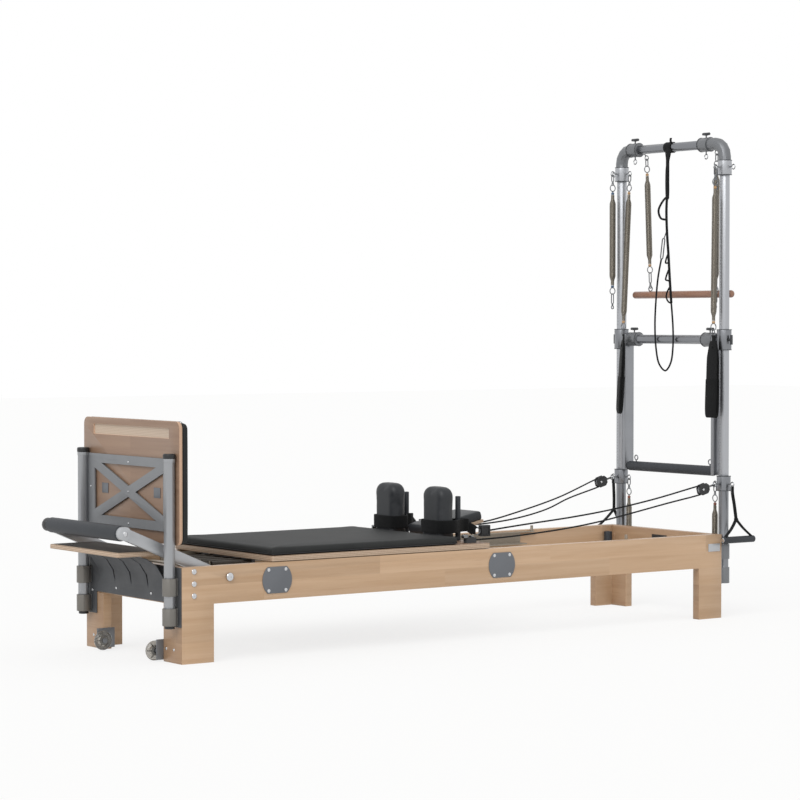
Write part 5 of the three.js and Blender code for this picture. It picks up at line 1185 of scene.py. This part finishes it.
def snap_hook(name, top, foot, across):
    """A snap hook: a long link above a swivel barrel with a small ring."""
    length = top - foot
    loop = chain_link("loop", top, foot + LOOP_FOOT * length, across=across)
    middle = (0, 0, (foot + BARREL_MIDDLE * length) * MM)
    barrel = rod("barrel", BARREL_RADIUS, BARREL_LENGTH * length, middle, 16, 1)
    small_top = foot + BARREL_LENGTH * length
    small = chain_link("ring", small_top, foot, LINK_HALF * SMALL_RING, across=OTHER_AXIS[across])
    return joined(name, loop, barrel, small)


def steel_ring(name, level, across):
    """A round ring whose top hangs at a level."""
    return smoothed(wire_ring(name, RING_RADIUS, RING_WIRE, (0, 0, (level - RING_RADIUS) * MM), across))


def hanging_spring(name, body, eye, spec, across, towards=None, ferrule=blue_ferrule):
    """Makes a spring with ferrules, rings and hooks, hangs it from its eye and returns its lower end."""
    link_foot = -HANG_DROP - spec["link"]
    coil_top = link_foot - 2 * RING_RADIUS
    coil_foot = coil_top - spec["coil"]
    low_end = coil_foot - 2 * RING_RADIUS
    clip_foot = low_end - spec["clip"]
    body_length = spec["coil"] - 2 * SHAFT_LENGTH
    coil = wound(f"{name}_coil", spec["radius"], COIL_WIRE, COIL_PITCH, body_length)
    for vertex in coil.data.vertices:
        depth = -vertex.co.z / MM
        share = (min(depth, body_length - depth) - NECK_LENGTH) / TAPER_LENGTH
        share = min(max(share, 0), 1)
        wide = NECK_SHARE + (1 - NECK_SHARE) * (share * share * (3 - 2 * share))
        vertex.co.x *= wide
        vertex.co.y *= wide
    coil.data.transform(Matrix.Translation((0, 0, (coil_top - SHAFT_LENGTH) * MM)))
    if spec["link"] < SHORT_LINK:
        fittings = [chain_link("link", -HANG_DROP, link_foot, across=across)]
    else:
        fittings = [snap_hook("hook", -HANG_DROP, link_foot, across)]
    for level in (link_foot, coil_foot):
        fittings.append(steel_ring("ring", level + RING_WIRE, OTHER_AXIS[across]))
    if spec["clip"]:
        fittings.append(snap_hook("clip", low_end + 2 * RING_WIRE, clip_foot, across))
    caps = []
    for level, way in ((coil_top, -1), (coil_foot, 1)):
        for radius, start, length in FERRULE_PARTS:
            middle = (0, 0, (level + way * (start + length / 2)) * MM)
            caps.append(rod("cap", radius, length, middle, 20, 0.8))
    end = Vector((eye[0], eye[1], eye[2] + clip_foot)) if towards is None else Vector(towards)
    aim = (end - Vector(eye)).normalized()
    turn = Matrix.Translation(place(*eye)) @ (-Z_AXIS).rotation_difference(aim).to_matrix().to_4x4()
    steel, dyed = joined(f"{name}_fittings", *fittings), smoothed(joined(f"{name}_ferrules", *caps))
    for piece, finish in ((coil, spring_wire), (steel, hook_steel_shaded), (dyed, ferrule)):
        piece.data.transform(turn)
        fitted(piece, body, finish)
    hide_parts(name)
    return Vector(eye) + aim * -clip_foot


def reach_of(spec):
    """How far a spring's lower end hangs below its eye."""
    return HANG_DROP + spec["link"] + spec["coil"] + spec["clip"] + 4 * RING_RADIUS


# %% [markdown]
# The arm springs hang straight from the elbows, and the leg springs lean a little towards the foot end.
# The push-through springs hang from the lower eyebolts, and the two roll-down springs hold the wooden
# bar. The dyed ferrules tell their strengths apart.

# %% Hanging the springs up
FRONT_EYE_X, INNER_EYE_Y, NEAR_LEG_LEAN, FAR_LEG_LEAN, FAR_LEG_SLANT = 2570, 272, 8, 46, 12
ROLL_LEAN, ROLL_HANG, ROLL_ROOTS = math.radians(35), 42, (-250, 190)
hanging_spring("near_arm_spring", "near_arm_line", (POST_X, -INNER_EYE_Y, UPPER_EYE_Z), ARM_SPRING, "Y")
hanging_spring("far_arm_spring", "far_arm_line", (FRONT_EYE_X, POST_Y, UPPER_EYE_Z), ARM_SPRING, "X")
leg_foot = UPPER_EYE_Z - reach_of(LEG_SPRING)
near_end = (FRONT_EYE_X - NEAR_LEG_LEAN, -POST_Y, leg_foot)
far_end = (POST_X - FAR_LEG_LEAN, INNER_EYE_Y - FAR_LEG_SLANT, leg_foot)
leg_ends = {
    "near": hanging_spring("near_leg_spring", "near_leg_line", (FRONT_EYE_X, -POST_Y, UPPER_EYE_Z),
                           LEG_SPRING, "X", near_end, orange_ferrule),
    "far": hanging_spring("far_leg_spring", "far_leg_line", (POST_X, INNER_EYE_Y, UPPER_EYE_Z),
                          LEG_SPRING, "Y", far_end, orange_ferrule),
}
for label, side in SIDES:
    hanging_spring(f"{label}_push_spring", f"{label}_push_line", (POST_X, side * INNER_EYE_Y, LOWER_EYE_Z),
                   PUSH_SPRING, "Y", ferrule=red_ferrule)
for (label, side), y, bar_y in zip(SIDES, ROLL_ROOTS, ROLL_EYES):
    eye = (POST_X + ROLL_HANG * math.sin(ROLL_LEAN), y, TOP_Z - ROLL_HANG * math.cos(ROLL_LEAN))
    hanging_spring(f"{label}_roll_spring", "roll_down", eye, ROLL_SPRING, "X",
                   (ROLL_X, bar_y, eye[2] - reach_of(ROLL_SPRING)), orange_ferrule)
print("springs made, leg ends:", [tuple(round(c) for c in end) for end in leg_ends.values()])

# %% [markdown]
# Straps are flat belts of webbing. A belt is a line with a width along its own upright, so each one is
# drawn flat in its own plane and then stood up in the machine. A closed belt makes a loop.

# %% Upright planes
def upright(origin, across=Y_AXIS):
    """Turns a belt drawn in XY so that it stands in a vertical plane, its width along a level direction."""
    width = Vector(across).normalized()
    turn = Matrix((width.cross(Z_AXIS), Z_AXIS, width.cross(Z_AXIS).cross(Z_AXIS))).transposed().to_4x4()
    return Matrix.Translation(place(*origin)) @ turn


def flat_line(points, steps=6, closed=False):
    """A smooth line in the drawing plane, in metres."""
    return smooth_line([Vector((u, w, 0)) * MM for u, w in points], steps, closed)


def fold_line(half, rise, u=0, w=0):
    """A small closed loop for a fold or a wrap of webbing, about a point of the drawing plane."""
    return flat_line([(u - half, w), (u, w + rise), (u + half, w), (u, w - rise)], 4, True)


def narrowed(piece, centre, across, levels, share):
    """Draws a belt in towards its middle line, from full width at one level to a share at another."""
    for vertex in piece.data.vertices:
        rise = (vertex.co.z / MM - levels[0]) / (levels[1] - levels[0])
        away = (vertex.co - place(*centre)).dot(Vector(across))
        vertex.co -= Vector(across) * away * (1 - share) * min(max(rise, 0), 1)


# %% [markdown]
# The foot straps are padded double loops of webbing. They hang from the leg springs, and each leans a
# little. The far one is turned, so that it shows its edge.

# %% Foot straps
STRAP_WIDTH, STRAP_LENGTH, STRAP_DROP, STRAP_NARROW, NARROW_HEIGHT = 66, 308, 44, 0.6, 70
STRAP_SPREAD, STRAP_THICKNESS = {"near": 6, "far": 5}, {"near": 7.5, "far": 9}
STRAP_TURN, STRAP_LEAN = {"near": 0, "far": math.radians(-30)}, {"near": 8, "far": 20}
LOOP_SHARES = [(0, 1), (-0.6, 0.93), (-1, 0.5), (-1, 0.08), (-0.6, 0.02), (0, 0), (0.6, 0.02), (1, 0.08),
               (1, 0.5), (0.6, 0.93)]
NECK_LINE = [(0, STRAP_LENGTH - 6), (1.5, STRAP_LENGTH + 12), (0, STRAP_LENGTH + 26)]
for label, end in leg_ends.items():
    turned, spread, body = STRAP_TURN[label], STRAP_SPREAD[label], f"{label}_leg_line"
    across = (math.sin(-turned), math.cos(turned), 0)
    loop_top = end.z - STRAP_DROP
    origin = (end.x, end.y, loop_top - STRAP_LENGTH)
    plane = upright(origin, across)
    lean = Matrix.Translation(place(*origin)) @ Matrix.Shear("XY", 4, (STRAP_LEAN[label] / STRAP_LENGTH, 0))
    lean = lean @ Matrix.Translation((-STRAP_LEAN[label] * MM, 0, 0)) @ Matrix.Translation(-place(*origin))
    line = flat_line([(u * spread, w * STRAP_LENGTH) for u, w in LOOP_SHARES], 5, True)
    loop = drawn("loop", line, True, width=STRAP_WIDTH - 4, thickness=5.5, turn=plane)
    pad_line = flat_line([(u * spread * 1.12, w * STRAP_LENGTH - 2) for u, w in LOOP_SHARES[2:9]], 5)
    cover = drawn(f"{label}_foot_strap_pad", pad_line, width=STRAP_WIDTH, thickness=STRAP_THICKNESS[label],
                  turn=plane)
    neck = drawn("neck", flat_line(NECK_LINE, 4), width=20, thickness=7, turn=plane)
    wrap_plane = upright((end.x, end.y, loop_top - 22), across)
    wrap = drawn("wrap", fold_line(9, 6), width=9, thickness=3, turn=wrap_plane)
    link = chain_link(f"{label}_foot_strap_link", 5, -24, across="X" if label == "near" else "Y")
    link.data.transform(Matrix.Translation(place(*end)))
    for part in (loop, cover):
        narrowed(part, end, across, (loop_top - NARROW_HEIGHT, loop_top), STRAP_NARROW)
    loop = joined(f"{label}_foot_strap_loop", loop, neck, wrap)
    loop.data.transform(lean)
    cover.data.transform(lean)
    fitted(loop, body, webbing, slot="webbing", replaces=[f"{label}_foot_strap"])
    fitted(cover, body, loop_felt)
    fitted(link, body, hook_steel_shaded)

# %% [markdown]
# Each handle is a webbing strap that splits to the two ends of a foam grip, hung on a link from the
# outer eyebolt.

# %% Handles
HANDLE_OUT, HANDLE_DROP, APEX_DROP, BAND_WIDTH, BAND_THICKNESS = 52, 228, 144, 18, 3.6
APEX_OFFSET, GRIP_OFFSET = {"near": 22, "far": 4}, {"near": 35, "far": -18}
HANDLE_HALF, HANDLE_RADIUS, ARM_SPREAD, ARM_END = 88, 14, 62, 80
turned_to_x = Matrix.Rotation(math.pi / 2, 4, "Z")
for label, side in SIDES:
    y, body = side * (POST_Y + HANDLE_OUT), f"{label}_grip"
    apex_u, middle = APEX_OFFSET[label], GRIP_OFFSET[label]
    plane, apex = upright((POST_X, y, LOWER_EYE_Z)), (apex_u, -APEX_DROP)
    arms = []
    for way in (-1, 1):
        bend = ((apex_u + middle + way * ARM_SPREAD) / 2, -(APEX_DROP + HANDLE_DROP) / 2 + 6)
        line = flat_line([apex, bend, (middle + way * ARM_END, -HANDLE_DROP + 6)], 5)
        arms.append(drawn("arm", line, width=BAND_WIDTH, thickness=BAND_THICKNESS, turn=plane))
    stem = drawn("stem", flat_line([(0, -9), (1, -34), (apex_u * 0.4 + 2, -80), apex], 5), width=BAND_WIDTH,
                 thickness=BAND_THICKNESS + 1, turn=plane)
    knot = drawn("knot", fold_line(5, 5, w=-APEX_DROP), width=16, thickness=3,
                 turn=upright((POST_X + apex_u, y, LOWER_EYE_Z)))
    fitted(joined(f"{label}_handle_straps", stem, knot, *arms), body, webbing, slot="webbing")
    hold = grip_sleeve(f"{label}_handle_grip", 0, 0, HANDLE_HALF - 2, HANDLE_RADIUS, 28, 4)
    hold.data.transform(Matrix.Translation(-place(0, 0, 0)))
    spot = place(POST_X + middle, y, LOWER_EYE_Z - HANDLE_DROP)
    hold.data.transform(Matrix.Translation(spot) @ turned_to_x)
    fitted(hold, body, grip_foam, slot="grip_foam", replaces=[f"{label}_handle"])
    for i, way in enumerate((-1, 1)):
        tip = (POST_X + middle + way * (HANDLE_HALF - 2), y, LOWER_EYE_Z - HANDLE_DROP)
        screw_row(f"{label}_handle_cap_{i}", body, [tip], (way, 0, 0), 10, 2.5)
    link = chain_link(f"{label}_handle_link", -HANG_DROP, -34, across="Y")
    link.data.transform(Matrix.Translation(place(POST_X, y, LOWER_EYE_Z)))
    fitted(link, body, hook_steel_shaded)

# %% [markdown]
# A padded loop lies round each shoulder rest and its peg. It is a fleece-covered belt, so it is drawn as
# a closed line round both, seen from above, with the belt's width upright. A narrower neck carries a
# steel D-ring, and the black rope adjuster is a moulded block with a slot cut by an inset face pushed
# inwards.

# %% Shoulder loops
LOOP_LEVEL, LOOP_WIDTH, LOOP_THICKNESS, NECK_WIDTH = 427, 50, 5.4, 38
RING_X, RING_Y, RING_LEVEL, D_RADIUS, D_WIRE = 1436, 198, 402, 14, 3
D_CORNERS = [(-11, -13), (-11, 13), (2, 13), (11, 8), (14, 0), (11, -8), (2, -13)]
ADJUSTER_LENGTH, ADJUSTER_HALF, ADJUSTER_HEIGHT, SIDE_FACE = 42, 11, 22, 400
SLOT_RIM, SLOT_SLOPE, SLOT_DEPTH, COLLAR_RADIUS, COLLAR_WIRE = 5, 1.2, 3, 5, 2.6
LOOP_LINE = [
    (1232.9, 127.9), (1231.4, 158.5), (1232.9, 189.1), (1240.9, 222.1), (1266.9, 234.1), (1300, 233.1),
    (1349, 200.6), (1375, 189.6), (1397, 189), (1401, 184), (1397, 179), (1371, 157.4), (1347, 150.4),
    (1304, 88.9), (1266.9, 82.9), (1240.9, 94.9),
]
NECK_POINTS = [(1398, 184, 421), (1407, 190, 415), (1422, 198, 403)]
for label, side in SIDES:
    body, ring_y = f"{label}_rest", side * RING_Y
    line = smooth_line([place(x, side * y, 0) for x, y in LOOP_LINE], 6, True)
    belt = drawn(f"{label}_fleece_loop", line, True, width=LOOP_WIDTH, thickness=LOOP_THICKNESS, rounding=3)
    belt.data.transform(Matrix.Translation((0, 0, LOOP_LEVEL * MM)))
    fitted(belt, body, loop_felt, slot="webbing", replaces=[f"{label}_shoulder_loop"])
    neck_line = smooth_line(on_side(side, NECK_POINTS), 5)
    neck = drawn("neck", neck_line, width=NECK_WIDTH, thickness=5)
    fold = drawn("fold", fold_line(5, 5), width=24, thickness=3)
    fold.data.transform(Matrix.Translation(place(RING_X - D_RADIUS - 2, ring_y, RING_LEVEL)))
    fitted(joined(f"{label}_loop_neck", neck, fold), body, webbing)
    d_line = [place(RING_X + u, ring_y, RING_LEVEL + w) for u, w in D_CORNERS]
    fitted(drawn(f"{label}_loop_ring", d_line, True, tube=D_WIRE), body, hook_steel_shaded)
    start = RING_X + D_RADIUS
    low = (start, ring_y - ADJUSTER_HALF, RING_LEVEL - ADJUSTER_HEIGHT)
    high = (start + ADJUSTER_LENGTH, ring_y + ADJUSTER_HALF, RING_LEVEL + ADJUSTER_HEIGHT)
    block = rounded_block(f"{label}_rope_adjuster", low, high, "Z", 7, 2, 4, 2)
    with editing(block, whole=False):
        mesh = bmesh.from_edit_mesh(block.data)
        for face in mesh.faces:
            face.select = abs(face.normal.y) > 0.99 and face.calc_area() > SIDE_FACE * MM * MM
        bmesh.update_edit_mesh(block.data)
        bpy.ops.mesh.inset(thickness=SLOT_RIM * MM)
        bpy.ops.mesh.inset(thickness=SLOT_SLOPE * MM, depth=-SLOT_DEPTH * MM)
    collar_place = place(start + ADJUSTER_LENGTH - 1, ring_y, RING_LEVEL)
    collar = wire_ring("collar", COLLAR_RADIUS, COLLAR_WIRE, collar_place, "X", 24, 8)
    fitted(smoothed(joined(f"{label}_rope_adjuster", block, collar)), body, black_plastic)

# %% [markdown]
# The safety strap hangs from the middle of the top bar: a wrap of webbing, a belt with small loops, and
# a long thin cord. The cord hangs down, round and up again to a snap hook, which a short tether holds.

# %% Safety strap and cord
HANG_X, TAB_LEVEL, STRAP_ROOT_Y, CORD_SPREAD, CORD_DROP, CORD_RADIUS = 2596, 1740, 12, 77, 945, 3.8
WRAP_RADIUS, WRAP_STEPS, GATHER_LEVELS, GATHER_SHARE = 21.8, 14, (1940, 1900), 0.5
TAB_LINE, GATHER_LINE = [(4.5, 215), (1, 170), (0.5, 90), (0, 0)], [(4.5, 206), (3, 184), (1, 158)]
OVER_LINE = [(1, 150), (-3.4, 120), (-3.6, 20), (-0.5, -4), (2.6, 18), (2.6, 60)]
TAIL_LINE = [(-8, 232), (-13, 243), (-11, 254)]
# The lines below are shares of the cord's spread to one side and of its drop from the bar.
SIDE_LOOPS = (
    (4.6, [(0.05, 0.22), (0.39, 0.24), (0.73, 0.28), (0.55, 0.314), (0.08, 0.323)]),
    (3.6, [(-0.1, 0.47), (0.1, 0.5), (0.13, 0.515), (-0.05, 0.516), (-0.12, 0.52)]),
    (3.6, [(-0.16, 0.54), (0.06, 0.572), (0.12, 0.59), (-0.08, 0.594), (-0.22, 0.6)]),
    (3.6, [(-0.24, 0.62), (0.02, 0.648), (0.06, 0.67), (-0.1, 0.688), (-0.32, 0.695)]),
)
CORD_SHARES = [(0.03, 0.215), (0.08, 0.28), (0.03, 0.376), (-0.1, 0.481), (-0.21, 0.587), (-0.34, 0.693),
               (-0.48, 0.799), (-0.49, 0.884), (-0.31, 0.96), (0.13, 0.996), (0.65, 0.966), (0.91, 0.894),
               (1, 0.788), (0.91, 0.672), (0.75, 0.577), (0.49, 0.498)]
LEAD_RADIUS, LEAD_POINTS, TETHER_SHARES = 5.4, 6, [(0.02, 0.355), (0.12, 0.382), (0.29, 0.408)]
HOOK_SHARES, HOOK_HALF, HOOK_WIRE = [(0.29, 0.405), (0.47, 0.497)], 7.5, 2.6


def in_hang(shares):
    """Points of the hanging cord's upright plane, in metres."""
    return [place(HANG_X, y * CORD_SPREAD, TOP_Z - drop * CORD_DROP) for y, drop in shares]


angles = [i / WRAP_STEPS * math.tau for i in range(WRAP_STEPS)]
bar_plane = Matrix.Translation(place(POST_X, STRAP_ROOT_Y, TOP_Z)) @ Matrix.Rotation(math.pi / 2, 4, "X")
round_bar = [Vector((WRAP_RADIUS * math.cos(a), WRAP_RADIUS * math.sin(a), 0)) * MM for a in angles]
wrap = drawn("wrap", round_bar, True, width=44, thickness=3.4, turn=bar_plane)
plane = upright((HANG_X, 0, TAB_LEVEL))
tab = drawn("tab", flat_line(TAB_LINE, 4), width=21, thickness=3.2, turn=plane)
over_tab = drawn("over_tab", flat_line(OVER_LINE, 4), width=17, thickness=2.6, turn=plane)
gather = drawn("gather", flat_line(GATHER_LINE, 5), width=40, thickness=4.4, turn=plane)
narrowed(gather, (HANG_X, 0, 0), Y_AXIS, GATHER_LEVELS, GATHER_SHARE)
tail = drawn("tail", flat_line(TAIL_LINE, 4), width=13, thickness=3,
             turn=upright((POST_X, STRAP_ROOT_Y - 16, TAB_LEVEL)))
straps = joined("safety_webbing_strap", wrap, tab, over_tab, gather, tail)
fitted(straps, "safety_line", webbing, slot="webbing", replaces=["safety_strap"])
lead = drawn("lead", smooth_line(in_hang(CORD_SHARES[:LEAD_POINTS])), tube=LEAD_RADIUS)
small_loops = [drawn("loop", smooth_line(in_hang(shares)), tube=radius) for radius, shares in SIDE_LOOPS]
tether = drawn("tether", smooth_line(in_hang(TETHER_SHARES), 5), tube=2)
fitted(joined("safety_strap_loops", lead, tether, *small_loops), "safety_line", webbing)
cord_line = smooth_line(in_hang(CORD_SHARES))
safety_cord = drawn("safety_cord", cord_line, tube=CORD_RADIUS)
fitted(safety_cord, "safety_line", rope_braid, slot="rope")
hook_top, hook_foot = in_hang(HOOK_SHARES)
catch = chain_link("safety_snap_hook", 0, -(hook_top - hook_foot).length / MM, HOOK_HALF, HOOK_WIRE)
catch.data.transform(Matrix.Translation(hook_top)
                     @ (-Z_AXIS).rotation_difference(hook_foot - hook_top).to_matrix().to_4x4())
fitted(catch, "safety_line", hook_steel_shaded)
print("safety cord", round(line_length(cord_line), 3), "m")

# %% [markdown]
# The last small things are a bare label bar on the tower board, dark sleeves on the two bumper posts
# that stop the carriage, a dark plug in the foot of each jumpboard post, and the roller and jaw of each
# rope cleat.

# %% Label bar, bumpers, plugs and cleats
LABEL_LOW, LABEL_HIGH = (2555.2, -46, 306), (2556.8, 48, 322)
BUMPER_X, BUMPER_Y, BUMPER_Z, BUMPER_RADIUS, BUMPER_LENGTH = 2522, 292.6, 282, 17.2, 76
PLUG_Z, PLUG_RADIUS, PLUG_LENGTH = 133, 18.4, 11
CLEAT_Y, ROLLER_X, ROLLER_Z, ROLLER_RADIUS, ROLLER_HEIGHT, JAW_X, JAW_Z = 300, 1297, 394, 13, 14, 1329, 392.5
JAW_SIZE = (12, 17, 6)
label_bar = rounded_block("bare_label_bar", LABEL_LOW, LABEL_HIGH, "X", 2, 0.5, 3, 1)
fitted(smoothed(label_bar), "bed", black_plastic)
for label, side in SIDES:
    bumper_place = place(BUMPER_X, side * BUMPER_Y, BUMPER_Z)
    sleeve = rod(f"{label}_bumper_sleeve", BUMPER_RADIUS, BUMPER_LENGTH, bumper_place, 36, 3, 3)
    fitted(smoothed(sleeve), "bed", grip_foam)
    plug_place = place(POST_X_JUMP, side * POST_Y_JUMP, PLUG_Z)
    plug = rod(f"{label}_post_plug", PLUG_RADIUS, PLUG_LENGTH, plug_place, 32, 1.5)
    fitted(smoothed(plug), "jumpboard", black_plastic)
    roller = rod("roller", ROLLER_RADIUS, ROLLER_HEIGHT, place(ROLLER_X, side * CLEAT_Y, ROLLER_Z), 28, 2, 3)
    jaw = slab("jaw", JAW_SIZE, place(JAW_X, side * CLEAT_Y, JAW_Z), 1.5)
    fitted(smoothed(joined(f"{label}_cleat_jaws", roller, jaw)), "carriage", hook_steel_shaded)

# %% [markdown]
# The photograph is a white cut-out under soft light. A white world lights the machine from all round,
# and a broad soft lamp on the left gives the shapes their shade. The floor looks white to the camera and
# keeps a faint shadow.

# %% Floor, world and lamps
FLOOR_SIZE, FLOOR_LEVEL, FLOOR_GLOW, WHITE = 60, -0.0005, 0.78, linear("#ffffff")
WORLD_STRENGTH, SUN_STRENGTH, SUN_SPREAD = 0.72, 1.35, math.radians(40)
SUN_TURN = (math.radians(48), 0, math.radians(-62))

bpy.ops.mesh.primitive_plane_add(size=FLOOR_SIZE, location=(0, 0, FLOOR_LEVEL))
floor = settle("floor")
floor_finish, tree, shader = surface("floor_paper", "#f2f2f0", 0.9)
ray = add_node(tree, "LightPath", give=None).outputs
seen = add_node(tree, "Math", {0: ray["Is Camera Ray"], 1: ray["Is Glossy Ray"]}, operation="MAXIMUM")
weight = add_node(tree, "Math", {0: seen, 1: FLOOR_GLOW}, operation="MULTIPLY")
glow = add_node(tree, "Emission", {"Color": WHITE, "Strength": 1.0})
floor_mix = add_node(tree, "MixShader", {0: weight, 1: shader.outputs[0], 2: glow})
tree.links.new(floor_mix, tree.nodes["Material Output"].inputs["Surface"])
floor.data.materials.append(floor_finish)

world = bpy.data.worlds.new("studio")
bpy.context.scene.world = world
world.use_nodes = True
tree = world.node_tree
tree.nodes.clear()
ray = add_node(tree, "LightPath", give=None).outputs
direct = add_node(tree, "Math", {0: ray["Is Camera Ray"], 1: ray["Is Glossy Ray"]}, operation="MAXIMUM")
clear = add_node(tree, "Math", {0: direct, 1: ray["Is Transmission Ray"]}, operation="MAXIMUM")
plain = add_node(tree, "Background", {"Color": WHITE, "Strength": WORLD_STRENGTH})
white = add_node(tree, "Background", {"Color": WHITE, "Strength": 1.0})
sky = add_node(tree, "MixShader", {0: clear, 1: plain, 2: white})
add_node(tree, "OutputWorld", {"Surface": sky}, None)

bpy.ops.object.light_add(type="SUN", rotation=SUN_TURN)
sun = bpy.context.object
sun.data.energy, sun.data.angle = SUN_STRENGTH, SUN_SPREAD
print("lamps:", world.name, sun.name)
